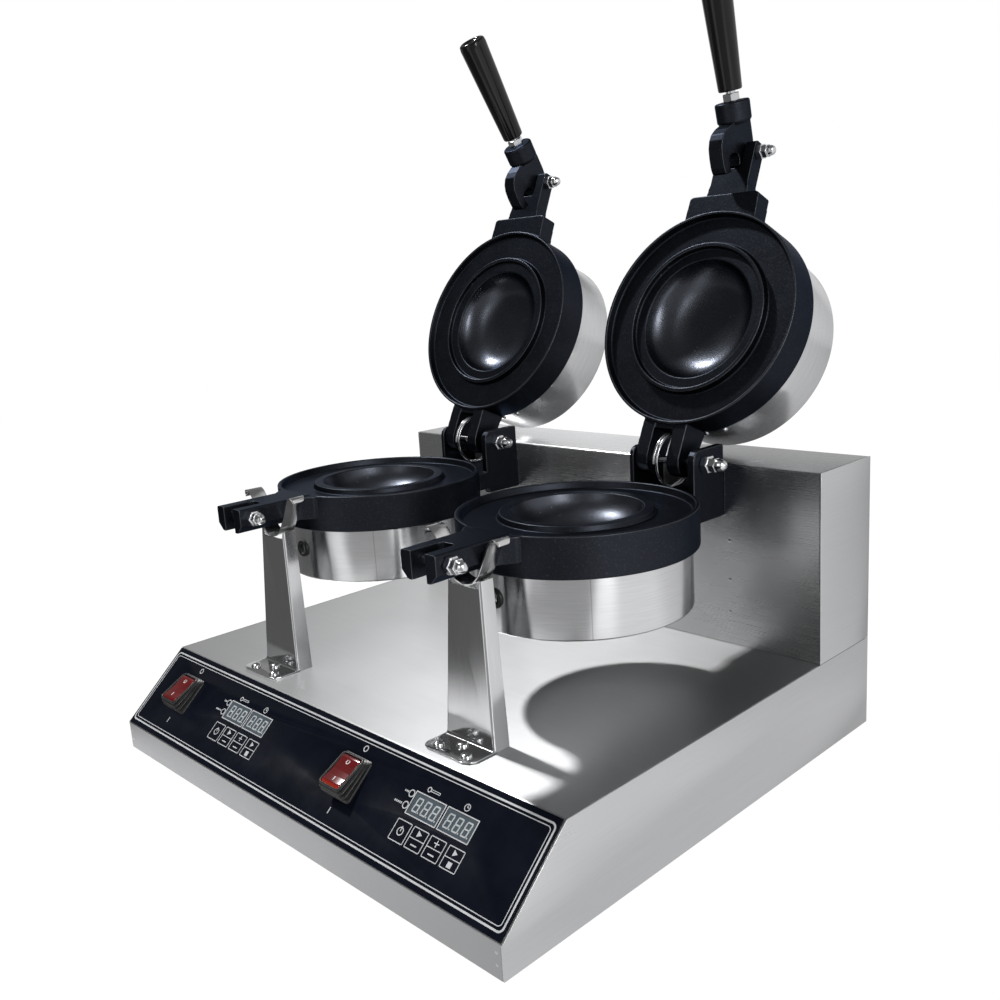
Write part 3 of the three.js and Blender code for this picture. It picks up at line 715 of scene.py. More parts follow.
SLOTS = {
    "brushed_steel": (STEEL_DECK, STEEL_SIDE, STEEL_BOX, STEEL_DRUM, STEEL_DRUM_TOP,
                      STEEL_POST),
    "bright_steel": (BRIGHT, STRAP),
    "spring_wire": (SPRING,),
    "coated_casting": (COATED, COATED_LOW, COATED_LEVER),
    "black_plastic": (GRIP, SOCKET),
    "rubber": (RUBBER,),
    "membrane": (MEMBRANE, INK),
    "display": (WINDOW, DIGIT),
    "heater": (HEATER,),
    "red_lens": (*RED.values(), MARK),
}
SLOT_OF = {finish.name: slot for slot, finishes in SLOTS.items() for finish in finishes}

# ------------------------------------------------------------------ placing pieces
PIECES = []
SHARED_MESHES = {}


def piece(name, part, finish, body="base", node=None, place=None, slot=None):
    """Name a finished part, put it in place, hang it on its body and replace a CAD node."""
    slot = slot or SLOT_OF[finish.name]
    part.name = name
    PIECES.append(part)
    mesh = part.data
    if mesh.users == 1:
        mesh.name = name
    if not any(mesh.materials):
        mesh.materials.clear()
        mesh.materials.append(finish)
        mesh.polygons.foreach_set("material_index", [0] * len(mesh.polygons))
    if "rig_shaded" not in mesh:
        mesh.shade_smooth()
        # castings are smooth all over
        mesh.set_sharp_from_angle(angle=PI if slot == "coated_casting" else math.radians(38))
        mesh["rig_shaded"] = 1
    if place is not None:
        part.matrix_world = place
    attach(part, body)
    if node:
        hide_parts(node)


def shared(make, *args):
    """Build a part once; later calls with the same arguments reuse its mesh."""
    key = (make, *args)
    if key in SHARED_MESHES:
        return new_object(SHARED_MESHES[key])
    part = make(*args)
    SHARED_MESHES[key] = part.data
    return part


# ------------------------------------------------------------------ small hardware
def rivet(radius, height):
    return lathe([(0, -0.4), (radius, -0.4), (radius, 0.08), (radius - 0.25, 0.12),
                  (radius - 0.35, 0.03), (radius - 0.6, height * 0.6), (0, height)], 24)


def cross_tools(half_length, half_width, z0, z1):
    """Two blocks that cut a crossed recess."""
    return (block(-half_length, half_length, -half_width, half_width, z0, z1),
            block(-half_width, half_width, -half_length, half_length, z0, z1))


def foot_pad():
    return lathe([(0, -8), (9.6, -8, 1.0), (11.2, -7, 0.8), (13, -0.6, 0.5), (13, -0.02),
                  (0, -0.02)], 48)


def foot_screw():
    head = lathe([(0, -8.15), (3.4, -8.15, 0.5), (3.6, -7.5), (0, -7.5)], 32)
    return cut(head, block(-2.2, 2.2, -0.4, 0.4, -9, -7.8))


def panel_screw():
    head = lathe([(0, -0.5), (3.2, -0.5), (3.2, 0.5, 0.4), (2.2, 1.5, 0.8), (0, 1.8)], 32)
    return cut(head, *cross_tools(2, 0.35, 0.9, 3))


def pan_screw():
    head = lathe([(0, 0), (4.3, 0), (4.35, 0.7, 0.5), (3.6, 2.0, 1.2), (2.0, 2.6, 1.0),
                  (0, 2.75)], 40)
    return bevel(cut(head, *cross_tools(2.3, 0.42, 1.2, 4)), 0.12, 1, 40)


def drum_screw():
    head = lathe([(0, -0.3), (3.0, -0.3), (3.0, 0.5, 0.4), (2.2, 1.5, 0.9), (0, 1.9)], 32)
    return cut(head, block(-1.8, 1.8, -0.35, 0.35, 0.8, 3))


def bolt(x0, x1, head_x0, head_x1, y, z):
    shank = lathe([(0, x0), (3.2, x0, 0.4), (3.2, x1, 0.6), (0, x1)], 32, "X", (0, y, z))
    return fuse(shank, turn(hex_nut(10.5, head_x0, head_x1), at(0, y, z)))


def domed_nut(base, collar, dome, bore_end):
    """base and collar: (across flats, x0, x1); dome: turned profile."""
    nut = fuse(hex_nut(*base), hex_nut(*collar), lathe(dome, 40, "X"))
    return cut(nut, rod("X", PIN_BORE, -1, bore_end, 0, 0))


def cap_nut():
    dome = [(0, 5.0), (4.6, 5.0), (4.6, 9.9, 0.3), (4.25, 10.3), (4.2, 12.0, 1.2),
            (3.4, 14.2, 1.6), (1.8, 15.4, 1.2), (0, 15.6)]
    return domed_nut((11.5, 0, 5.0), (9.9, 5.2, 9.4), dome, 12.0)


def hinge_nut():
    dome = [(0, 6.0), (5.0, 6.0), (5.0, 13.0, 0.3), (5.3, 13.3, 0.3), (5.2, 15.4, 1.4),
            (4.3, 18.4, 2.0), (2.2, 20.4, 1.6), (0, 20.9)]
    return domed_nut((13.0, 0, 6.4), (10.6, 6.6, 12.4), dome, 15.8)


# ------------------------------------------------------------------ cabinet
def base_shell():
    """Folded sheet: front lip, slope and deck, with openings for both stations."""
    front = -HALF_D
    along_y, along_z = math.cos(SLOPE_ANGLE), math.sin(SLOPE_ANGLE)
    # a point on the slope's inner face, then how far along it the inner corners lie
    inner_y, inner_z = front + SHEET * along_z, LIP - SHEET * along_y
    low = (front + SHEET - inner_y) / along_y
    high = (DECK - SHEET - inner_z) / along_z
    outline = [
        (front, 0), (front, LIP, 2.0), (front + SLOPE_RUN, DECK, 2.4), (HALF_D, DECK, 2.2),
        (HALF_D, 0), (HALF_D - SHEET, 0), (HALF_D - SHEET, DECK - SHEET, 1.2),
        (inner_y + high * along_y, DECK - SHEET, 1.6),
        (front + SHEET, inner_z + low * along_z, 1.0), (front + SHEET, 0),
    ]
    shell = prism("X", outline, -HALF_W + 1.5, HALF_W - 1.5, 6)
    panel = panel_place(0)
    for x in STATION_X.values():
        switch_x = x + SWITCH_X
        switch_hole = block(switch_x - 11.6, switch_x + 11.6, SWITCH_Y - 15, SWITCH_Y + 15,
                            -4, 4)
        display_hole = block(x - 0.6, x + 61.8, 39.3, 56.6, -4, 4)
        cut(shell, turn(switch_hole, panel), turn(display_hole, panel),
            rod("Z", 14, DECK - 6, DECK + 6, x, 180))
    return cut(shell, block(-164.2, -135.8, HALF_D - 6, HALF_D + 6, 29.8, 50.2))


def rear_box():
    outline = [
        (BOX_FRONT, BOX_BOTTOM), (BOX_FRONT, BOX_TOP, 2.0), (HALF_D, BOX_TOP, 1.8),
        (HALF_D, BOX_TOP - 12), (HALF_D - SHEET, BOX_TOP - 12),
        (HALF_D - SHEET, BOX_TOP - SHEET, 0.8), (BOX_FRONT + SHEET, BOX_TOP - SHEET, 1.0),
        (BOX_FRONT + SHEET, BOX_BOTTOM),
    ]
    box = prism("X", outline, -HALF_W + 1.5, HALF_W - 1.5, 6)
    return cut(box, *[rod("Y", 8, BOX_FRONT - 4, BOX_FRONT + 5, x, 201)
                      for x in STATION_X.values()])


def seam_bead(sign):
    """Rim where the front, slope and deck meet a side sheet."""
    x = sign * (HALF_W - 1.35)
    path = [(x, -HALF_D + 0.6, 0.8), (x, -HALF_D + 0.55, LIP - 0.6),
            (x, -HALF_D + SLOPE_RUN + 0.3, DECK - 0.55), (x, BOX_FRONT - 0.6, DECK - 0.55)]
    return tube(path, 0.45, 8)


def build_cabinet():
    piece("base_cabinet", base_shell(), STEEL_DECK, node="base_shell")
    for node, finish in (
            ("base_side_left", STEEL_SIDE), ("base_side_right", STEEL_SIDE),
            ("box_side_left", STEEL_SIDE), ("box_side_right", STEEL_SIDE),
            ("back_panel", STEEL_BOX), ("bottom_plate", STEEL_BOX),
            ("service_cover", STEEL_BOX)):
        piece(node + "_sheet", bevel(from_cad(node), 0.35, 2, 40), finish, node=node)
    piece("rear_box_sheet", rear_box(), STEEL_BOX, node="rear_box")
    for sign, tag in ((-1, "left"), (1, "right")):
        piece("seam_bead_" + tag, seam_bead(sign), STEEL_POST)

    for side in SIDES:
        for x, column in ((-37, "a"), (37, "b")):
            for k, z in enumerate((167.4, 133.4, 105.2)):
                piece(f"{side}_wall_rivet_{column}{k}", shared(rivet, 1.9, 0.45), BRIGHT,
                      place=at(STATION_X[side] + x, BOX_FRONT, z) @ tilt(90))
    for sign, tag in ((-1, "left"), (1, "right")):
        for k, z in enumerate((17.2, 9.0)):
            piece(f"lip_rivet_{tag}_{k}", shared(rivet, 1.1, 0.3), STEEL_SIDE,
                  place=at(sign * 234.6, -HALF_D, z) @ tilt(90))

    for node in ("foot_front_left", "foot_front_right", "foot_rear_left", "foot_rear_right"):
        low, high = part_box(node)
        center = (low + high) / 2 / MM
        place = at(center.x, center.y, 0)
        piece(node + "_pad", shared(foot_pad), RUBBER, node=node, place=place)
        piece(node + "_screw", shared(foot_screw), BRIGHT, place=place)
    piece("mains_socket", bevel(from_cad("mains_inlet"), 0.5, 2, 40), SOCKET,
          node="mains_inlet")
    spots = [(x, z) for z in (217, 84) for x in (-220, 0, 220)]
    for k, (x, z) in enumerate(spots):
        piece(f"back_panel_screw_{k}", shared(panel_screw), BRIGHT,
              place=at(x, HALF_D, z) @ tilt(-90))


build_cabinet()

# ------------------------------------------------------------------ control panel print
PRINT_BOTTOM, PRINT_TOP = 0.74, 0.86
DIGIT_BOTTOM, DIGIT_TOP = 0.5, 0.64


def frame_line(x0, x1, y0, y1, width, radius, top=PRINT_TOP):
    return ring_prism(round_rect(x0, x1, y0, y1, radius),
                      round_rect(x0 + width, x1 - width, y0 + width, y1 - width,
                                 max(radius - width, 0.05)), PRINT_BOTTOM, top)


def bar(x0, x1, y0, y1):
    return block(x0, x1, y0, y1, PRINT_BOTTOM, PRINT_TOP)


def ring(x, y, radius, width):
    inner = radius - width
    return ring_prism(circle(x, y, radius, radius, 24), circle(x, y, inner, inner, 24),
                      PRINT_BOTTOM, PRINT_TOP)


def shape(points):
    return prism("Z", points, PRINT_BOTTOM, PRINT_TOP)


def panel_marks():
    marks = []
    line = 0.62
    for i, (x0, x1) in enumerate(((-2.5, 12.2), (14.1, 29.0), (31.3, 46.2), (48.8, 63.6))):
        marks.append(frame_line(x0, x1, 20.7, 35.6, line, 0.9))
        if i:
            marks.append(bar(x0 + line, x1 - line, 27.9, 28.5))
    plus = [(38.4, 29.6), (39.1, 29.6), (39.1, 31.6), (41.1, 31.6), (41.1, 32.3), (39.1, 32.3),
            (39.1, 34.3), (38.4, 34.3), (38.4, 32.3), (36.4, 32.3), (36.4, 31.6), (38.4, 31.6)]
    marks += [
        # signs on the keys: ring with a stroke, triangle, plus, triangle, each over a bar
        ring(4.85, 28.2, 3.0, 0.7), bar(4.5, 5.2, 28.2, 31.9),
        shape([(19.8, 29.7), (19.8, 34.2), (24.0, 31.95)]), bar(18.6, 24.4, 23.7, 24.6),
        shape(plus), bar(35.8, 41.6, 23.7, 24.6),
        shape([(54.6, 29.8), (54.6, 34.1), (58.4, 31.95)]), bar(54.4, 58.2, 22.4, 26.2),
        # indicator rings with rows of short bars
        ring(-3.2, 53.0, 2.75, 0.75), ring(-3.2, 44.5, 2.75, 0.75),
        *[bar(-10.4 + k * 1.5, -9.5 + k * 1.5, 52.5, 53.9) for k in range(3)],
        *[bar(-14.6 + k * 1.6, -13.6 + k * 1.6, 43.9, 45.3) for k in range(5)],
        # thermometer and clock over the two windows
        ring(9.6, 60.2, 1.9, 0.7), frame_line(10.9, 20.4, 59.3, 61.1, 0.5, 0.8),
        ring(46.6, 60.3, 2.6, 0.6), bar(46.3, 46.9, 60.1, 62.0), bar(46.3, 48.2, 60.1, 60.6),
        # off ring above the switch, on bar below it
        ring(-66.0, 66.6, 2.5, 0.8), bar(-66.45, -65.55, 15.4, 20.2),
        # window frames
        frame_line(-0.3, 30.3, 39.6, 56.3, 0.75, 0.5, PRINT_TOP + 0.05),
        frame_line(31.7, 61.5, 39.6, 56.3, 0.75, 0.5, PRINT_TOP + 0.05),
    ]
    return merge(*marks)


def digit_outlines(x, y):
    """Slanted seven-segment figure with its point."""
    height, width, line, slant, gap = 10.4, 5.6, 1.05, 0.10, 0.22
    outlines = []
    for b in (0, height / 2 - line / 2, height - line):
        a = gap + line * 0.4
        outlines.append([(a, b), (width - a, b), (width - gap, b + line / 2),
                         (width - a, b + line), (a, b + line), (gap, b + line / 2)])
    spans = ((line * 0.75, height / 2 - gap), (height / 2 + gap, height - line * 0.75))
    for a in (0, width - line):
        for b0, b1 in spans:
            tip = line * 0.3
            outlines.append([(a, b0 + tip), (a + line / 2, b0), (a + line, b0 + tip),
                             (a + line, b1 - tip), (a + line / 2, b1), (a, b1 - tip)])
    placed = [[(x + a + b * slant, y + b) for a, b in outline] for outline in outlines]
    return placed + [circle(x + width + 0.9, y + 0.6, 0.62, 0.62, 12)]


def digits():
    """Three figures in each window."""
    return merge(*[prism("Z", outline, DIGIT_BOTTOM, DIGIT_TOP)
                   for x in (3.6, 34.8) for k in range(3)
                   for outline in digit_outlines(x + k * 8.4, 42.6)])


def build_panel():
    piece("panel_overlay", bevel(from_cad("control_overlay"), 0.12, 1, 40), MEMBRANE,
          node="control_overlay")
    piece("panel_border_outer",
          frame_line(-HALF_W + 3.4, HALF_W - 3.4, 4.6, 74.6, 1.35, 4.2), INK,
          place=panel_place(0))
    piece("panel_border_inner",
          frame_line(-HALF_W + 6.4, HALF_W - 6.4, 7.7, 71.5, 0.6, 3.0), INK,
          place=panel_place(0))
    for side in SIDES:
        place = panel_place(STATION_X[side])
        board = side + "_display_board"
        piece(side + "_panel_print", shared(panel_marks), INK, place=place)
        piece(side + "_display_windows", bevel(from_cad(board), 0.15, 1, 40), WINDOW,
              node=board)
        piece(side + "_display_digits", shared(digits), DIGIT, place=place)


build_panel()

# ------------------------------------------------------------------ rocker switches
# Bellows boot from the outside in: height, half width, half length, corner radius.
BOOT_ROWS = (
    (0.9, 15.6, 16.6, 2.6), (2.0, 15.6, 16.6, 2.6), (2.5, 15.1, 16.1, 2.6),
    (2.8, 13.9, 15.4, 2.8), (3.3, 13.3, 14.9, 2.8), (4.1, 14.6, 16.1, 3.2),
    (4.8, 14.9, 16.4, 3.2), (5.3, 14.4, 15.9, 3.2), (5.9, 12.9, 14.7, 3.0),
    (6.7, 13.7, 15.4, 3.2), (7.3, 13.9, 15.6, 3.2), (7.8, 13.3, 15.1, 3.2),
    (8.3, 12.1, 14.1, 3.0), (9.1, 12.7, 14.5, 3.2), (9.8, 12.8, 14.6, 3.2),
    (10.3, 12.4, 14.2, 3.0), (10.6, 11.6, 13.7, 2.6), (10.5, 10.9, 13.3, 2.2),
    (9.9, 10.6, 13.0, 2.0), (6.2, 10.5, 12.9, 2.0), (4.0, 10.4, 12.8, 2.0),
)


def boot():
    """Stacked folds that lean more and more with the rocker, and an inner wall."""
    lean_start, lean_height = 2.2, 7.6
    sections = []
    for height, half_x, half_y, radius in BOOT_ROWS:
        share = max(0.0, min(1.0, (height - lean_start) / lean_height))
        lean = math.radians(ROCKER_TILT) * share
        rise = height - ROCKER_Z
        sections.append([
            (x + SWITCH_X, SWITCH_Y + y * math.cos(lean) - rise * math.sin(lean),
             ROCKER_Z + y * math.sin(lean) + rise * math.cos(lean))
            for x, y in round_rect(-half_x, half_x, -half_y, half_y, radius, 6)])
    return loft(sections)


def switch_core():
    """Moulded body through the panel."""
    return bevel(block(SWITCH_X - 11, SWITCH_X + 11, SWITCH_Y - 14.4, SWITCH_Y + 14.4,
                       -22, 0.7), 0.8, 2, 40)


def switch_blades():
    return merge(*[bevel(block(SWITCH_X + x - 0.4, SWITCH_X + x + 0.4, SWITCH_Y - 3,
                               SWITCH_Y + 3, -30, -21.5), 0.15, 1) for x in (-6, 0, 6)])


def rocker():
    right = [(12.75, 3.4, 0.5), (12.3, 5.25, 1.3), (10.2, 5.55, 1.5), (5, 4.85, 4)]
    left = [(-y, z, fillet) for y, z, fillet in reversed(right)]
    outline = [(-12.6, 0.3), (12.6, 0.3)] + right + [(0, 4.6, 8)] + left
    return bevel(prism("X", outline, -10, 10, 5), 0.9, 4, 50)


def rocker_marks():
    """An oval ring on the upper end and a stroke on the lower."""
    oval = ring_prism(circle(0, 7.6, 1.75, 2.0, 28), circle(0, 7.6, 1.1, 1.35, 28), 4.9, 5.38)
    return merge(oval, block(-0.38, 0.38, -9.2, -5.6, 4.9, 5.38))


def build_boot(side, panel):
    """The boot's foot stays on the panel and its top leans at the rocker's rest tilt."""
    part = turn(boot(), panel)
    part.name = side + "_switch_boot"
    part.data.shade_smooth()
    part.data.set_sharp_from_angle(angle=math.radians(60))
    part.data.materials.clear()
    part.data.materials.append(RUBBER)
    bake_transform(part)
    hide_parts(side + "_switch_body")


for side in SIDES:
    panel = panel_place(STATION_X[side])
    body = side + "_switch"
    build_boot(side, panel)
    piece(side + "_switch_core", shared(switch_core), SOCKET, place=panel, slot="rubber")
    piece(side + "_switch_blades", shared(switch_blades), BRIGHT, place=panel)
    piece(side + "_rocker_cap", rocker(), RED[side], body, side + "_switch_rocker",
          rocker_place(side))
    piece(side + "_rocker_marks", shared(rocker_marks), MARK, body, place=rocker_place(side))


# ------------------------------------------------------------------ castings
def bowl_disc(rim, bowl):
    """Round plate: rim profile (radius, z[, fillet]), then a smooth bowl (radius, z)."""
    bowl = spline(bowl)
    return plate_lathe(rounded(rim + bowl[:1], 5, False) + bowl[1:])


def lower_casting():
    disc = bowl_disc(
        [(0, 193), (91.5, 193, 1.4), (91.5, 223.5, 0.7), (88.3, 223.5, 0.6),
         (86.4, 217.8, 1.0), (59.8, 217.8, 0.7), (58.2, 222.2, 0.6), (50.7, 222.2, 0.5)],
        [(50.4, 221.2), (47.0, 214.2), (41.5, 208.4), (33, 203.8), (22, 201.2), (10, 200.35),
         (0, 200.2)])
    # forked arm to the front, with a flare where it joins the disc
    fork = prism("Y", [(-17.6, 224, 1.6), (-17.6, 210), (-11.6, 204, 1), (11.6, 204, 1),
                       (17.6, 210), (17.6, 224, 1.6)], -162.5, -90)
    slot = prism("Z", [(-7.3, -168), (7.3, -168), (7.3, -135.2, 4.2), (-7.3, -135.2, 4.2)],
                 195, 232)
    flare = prism("Z", [(-17.6, -109.9), (-19.6, -106, 5), (-27, -97, 6), (-27, -84),
                        (27, -84), (27, -97, 6), (19.6, -106, 5), (17.6, -109.9)],
                  204.6, 223.3)
    arm = cut(fuse(fork, flare), slot, plate_cylinder(87.9, 217.9, 240),
              rod("X", 3.3, -30, 30, CATCH_Y, CATCH_Z))
    # two hinge cheeks at the back
    cheek = [(98.5, 193), (97.6, 214), (98, 242, 1), (99.2, 245.6, 1), (102, 248.2, 1),
             (106, 249.2, 1), (139.6, 249.5, 1.6), (139.6, 189.2), (100, 189.2)]
    rear = fuse(block(-32.4, 32.4, 60, 139.6, 193.7, 210), prism("X", cheek, -32.4, -28.6),
                prism("X", cheek, 26.2, 32.4))
    rear = cut(rear, plate_cylinder(87.9, 217.9, 240),
               rod("X", 3.3, -40, 40, HINGE_Y, HINGE_Z))
    return cast(fuse(disc, arm, rear), 0.5, 2)


def upper_casting():
    disc = bowl_disc(
        [(0, 254.5), (91.7, 254.5, 1.4), (91.7, 224.1, 0.6), (89.6, 224.1, 0.5),
         (87.9, 230.2, 0.9), (65.4, 230.2, 0.8), (64.4, 224.1, 0.5), (61.2, 224.1, 0.5),
         (60.3, 228.7, 0.6), (51.6, 228.7, 0.5)],
        [(51.0, 229.5), (47.6, 236.6), (41.5, 242.6), (33, 247.2), (22, 249.8), (10, 250.6),
         (0, 250.7)])
    # slotted clevis to the front
    shoulder = prism("Z", [(-33.5, -114.5, 1.5), (-31, -116, 1.5), (31, -116, 1.5),
                           (33.5, -114.5, 1.5), (35, -86), (-35, -86)], 228.8, 246)
    arm = prism("X", [(-163.5, 234, 1), (-163.5, 243.5, 1.5), (-161, 246, 1.5), (-112, 246),
                      (-112, 232), (-162, 232, 1)], -18.3, 18.3)
    web = prism("Z", [(-18.3, -130, 6), (-20.4, -112), (20.4, -112), (18.3, -130, 6)],
                232, 245.9)
    slot = prism("Z", [(-8.1, -170), (8.1, -170), (8.1, -140.2, 2.5), (-8.1, -140.2, 2.5)],
                 215, 262)
    front = cut(fuse(shoulder, arm, web), slot, plate_cylinder(89.2, 200, 230.3),
                rod("X", PIN_BORE, -30, 30, CLEVIS_Y, CLEVIS_Z))
    # two hinge lugs at the back
    lug = [(70, 229), (84, 226.2, 6), (104, 225.2, 8), (112, 225.0, 8), (119, 227.2, 6),
           (123.6, 232.4, 5), (124.9, 239, 5), (122.6, 245.4, 5), (117.6, 249.3, 5),
           (112, 250.2, 6), (98, 251.5), (84, 254), (70, 254)]
    rear = fuse(block(-28.1, 15.8, 70, 87.5, 227.2, 254), prism("X", lug, -28.1, -15.9),
                prism("X", lug, 3.7, 15.8))
    rear = cut(rear, plate_cylinder(89.2, 200, 230.3),
               rod("X", PIN_BORE, -30, 30, HINGE_Y, HINGE_Z))
    return cast(fuse(disc, front, rear), 0.5, 2)


def lever_casting():
    """Hooked plate about the clevis pin, with a round collar for the handle stud."""
    outline = [
        (27, -13.4), (24, -14, 2), (11, -14, 3), (4, -13.2, 4), (-4, -11.2, 5), (-9.6, -7, 5),
        (-11.8, -1, 4), (-11.6, 4.5, 4), (-9.6, 9.2, 3), (-6.4, 11.4, 2), (-1.5, 10.2, 3),
        (2.4, 11.6, 3), (4.6, 15.4, 3), (4.7, 19.6, 3), (3.6, 23.6, 2), (1, 26, 1),
        (-2.3, 26, 1), (-5.4, 25.5, 1), (-8.7, 24.6, 1), (-9.5, 26.2, 1), (-9.8, 31.6, 2),
        (-8.4, 33.4, 2), (-4, 34.6, 3), (4, 34.8, 3), (12, 34, 4), (18, 31.4, 4),
        (22.4, 27.4, 4), (25.4, 21, 4), (27, 14.2),
    ]
    plate = prism("X", outline, -6.6, 6.6)
    collar = lathe([(0, 25.5), (12.4, 25.5, 1.5), (14.3, 28.2, 1.2), (14.5, 42.4, 1.2),
                    (13.4, 43.5, 0.8), (6.2, 43.5, 0.4), (5.8, 42.7), (0, 42.7)], 96, "Y")
    lever = cut(fuse(plate, collar), rod("X", PIN_BORE, -20, 20, 0, 0),
                rod("Y", 4.15, 32, 60, 0, 0))
    return cast(lever, 0.36, 3)


# ------------------------------------------------------------------ other station parts
def drum(closed_z, open_z, radius, shift):
    """Spun sheet drum with a rolled edge at its closed end."""
    way = 1 if open_z > closed_z else -1
    return plate_lathe([
        (0, closed_z), (radius - 5, closed_z, 0.8), (radius - 4.2, closed_z + way * 0.5, 0.6),
        (radius, closed_z + way * 0.6, 1.5), (radius, open_z, 0.3),
        (radius - SHEET, open_z, 0.3), (radius - SHEET, closed_z + way * 1.8, 1.0),
        (0, closed_z + way * 1.3)], shift=shift)


def lower_drum():
    front = PLATE_Y - DRUM_R
    return cut(drum(147, 192.7, DRUM_R, 0.0),
               rod("Y", 6, front - 8, front + 8, GROMMET_X, GROMMET_Z))


def heater_ring(z0, fillet0, z1, fillet1):
    return plate_lathe([(24, z0, fillet0), (76, z0, fillet0), (76, z1, fillet1),
                        (24, z1, fillet1)], 96, closed=True)


def grommet():
    return lathe([(4.4, -1.6, 0.6), (7.4, -1.6, 0.8), (7.4, 0.6, 0.7), (6.0, 0.9), (6.0, 2.2),
                  (7.0, 2.6, 0.5), (7.0, 3.6, 0.5), (4.4, 3.6, 0.5)], 48, "Y", closed=True)


def grommet_clip():
    return bevel(block(-1.2, 1.2, 0.5, 3.0, -3.6, 3.6), 0.4, 2)


def hinge_coil():
    """A straight leg, then turns about the hinge that creep to the left."""
    radius, turns, steps, right, creep = 22.0, 1.75, 150, 1.9, 5.4
    path = [(right, HINGE_Y - y, HINGE_Z - radius) for y in (17, 12, 7, 2)]
    for i in range(steps + 1):
        angle = -PI / 2 + turns * 2 * PI * i / steps
        path.append((right - creep * i / steps, HINGE_Y + 3 + radius * math.cos(angle),
                     HINGE_Z + radius * math.sin(angle)))
    return tube(path, 1.25, 12)


def post():
    """Tapered channel, open to the back, on a screwed foot."""
    wall, bottom, top = 1.5, DECK + 0.1, 197.0

    def section(half, front, back, z):
        inner = half - wall
        outline = [(half, back), (half, front, 2.2), (-half, front, 2.2), (-half, back),
                   (-inner, back), (-inner, front + wall, 0.8), (inner, front + wall, 0.8),
                   (inner, back)]
        return [(x, y, z) for x, y in rounded(outline, 5)]

    channel = loft([section(25, -129.5, -115, bottom), section(17, -124.5, -113, top)])
    cut(channel, prism("Y", [(-15.3, 191.2, 2.0), (15.3, 191.2, 2.0), (15.3, 212),
                             (-15.3, 212)], -140, -100))
    foot = prism("Z", [(-25.5, -127.6, 0.5), (-25.5, -146, 4), (-23.2, -151.2, 4),
                       (-18, -153.5, 3), (18, -153.5, 3), (23.2, -151.2, 4), (25.5, -146, 4),
                       (25.5, -127.6, 0.5)], bottom, bottom + wall)
    bevel(foot, 0.3, 2, 40)
    # hollow fillet between foot and channel
    steps, radius, toe, heel = 6, 2.6, -131.9, -128.4
    arc = [(toe + radius * math.sin(PI / 2 * k / steps),
            bottom + wall + radius - radius * math.cos(PI / 2 * k / steps))
           for k in range(steps + 1)]
    bend = prism("X", [(heel, bottom + 0.4), (toe, bottom + 0.4)] + arc
                 + [(heel, bottom + wall + radius)], -23.6, 23.6)
    return cut(fuse(channel, foot, bend), *[rod("Z", 2.1, bottom - 3, bottom + 4, x, y, 24)
                                            for x, y in POST_SCREWS])


def strap():
    """Bent spring strip under the lower arm; its right end is shorter."""
    rise = [(6, 193.4), (10.5, 196), (14.3, 200.2), (17.6, 205.6), (20.6, 211.5),
            (23.6, 217.5)]
    long_end = [(26.6, 222.6), (29.8, 226.2), (33.2, 227.8), (36.8, 227.2), (39.4, 224.8),
                (40.6, 221.6)]
    short_end = [(26.0, 222.4), (28.3, 225.6), (31.0, 227.2), (33.8, 226.4), (35.4, 223.6)]
    left = [(-x, z) for x, z in reversed(rise + long_end)]
    line = spline(left + [(0, 192.4)] + rise + short_end)
    half_thickness = 0.6
    upper, lower = [], []
    for i, (x, z) in enumerate(line):
        a, b = line[max(0, i - 1)], line[min(len(line) - 1, i + 1)]
        dx, dz = b[0] - a[0], b[1] - a[1]
        length = math.hypot(dx, dz)
        nx, nz = -dz / length * half_thickness, dx / length * half_thickness
        upper.append((x + nx, z + nz))
        lower.append((x - nx, z - nz))
    front, back, low, high, fillet = -124.5, -110.5, 190, 232, 6.6
    strip = prism("Y", upper + lower[::-1], front, back)
    # envelope with tongue-shaped ends
    middle = prism("X", [(front, low), (back, low), (back, high), (front, high)], -34.0, 29.4)
    ends = [prism("Z", [(x, back), (tip, back, fillet), (tip, front, fillet), (x, front)],
                  low, high, 7) for x, tip in ((26, 36.2), (-30, -41.4))]
    return bevel(common(strip, fuse(middle, *ends)), 0.28, 2, 50)


def grip():
    return lathe([(0, 76), (4.2, 76), (4.2, 51.9, 0.2), (9.3, 51.9, 0.7), (9.9, 53.2, 1.2),
                  (11.5, 98), (13.0, 143.8, 2.2), (12.4, 148.0, 1.8), (10.2, 149.2, 1.2),
                  (7.4, 147.5, 2.5), (3.6, 146.5), (0, 146.2)], 96, "Y")


def stud():
    shank = lathe([(0, 32.6), (4, 32.6), (4, 74, 0.5), (0, 74)], 32, "Y")
    return fuse(shank, turn(hex_nut(13.0, 43.8, 50.0), spin(PI / 2)))


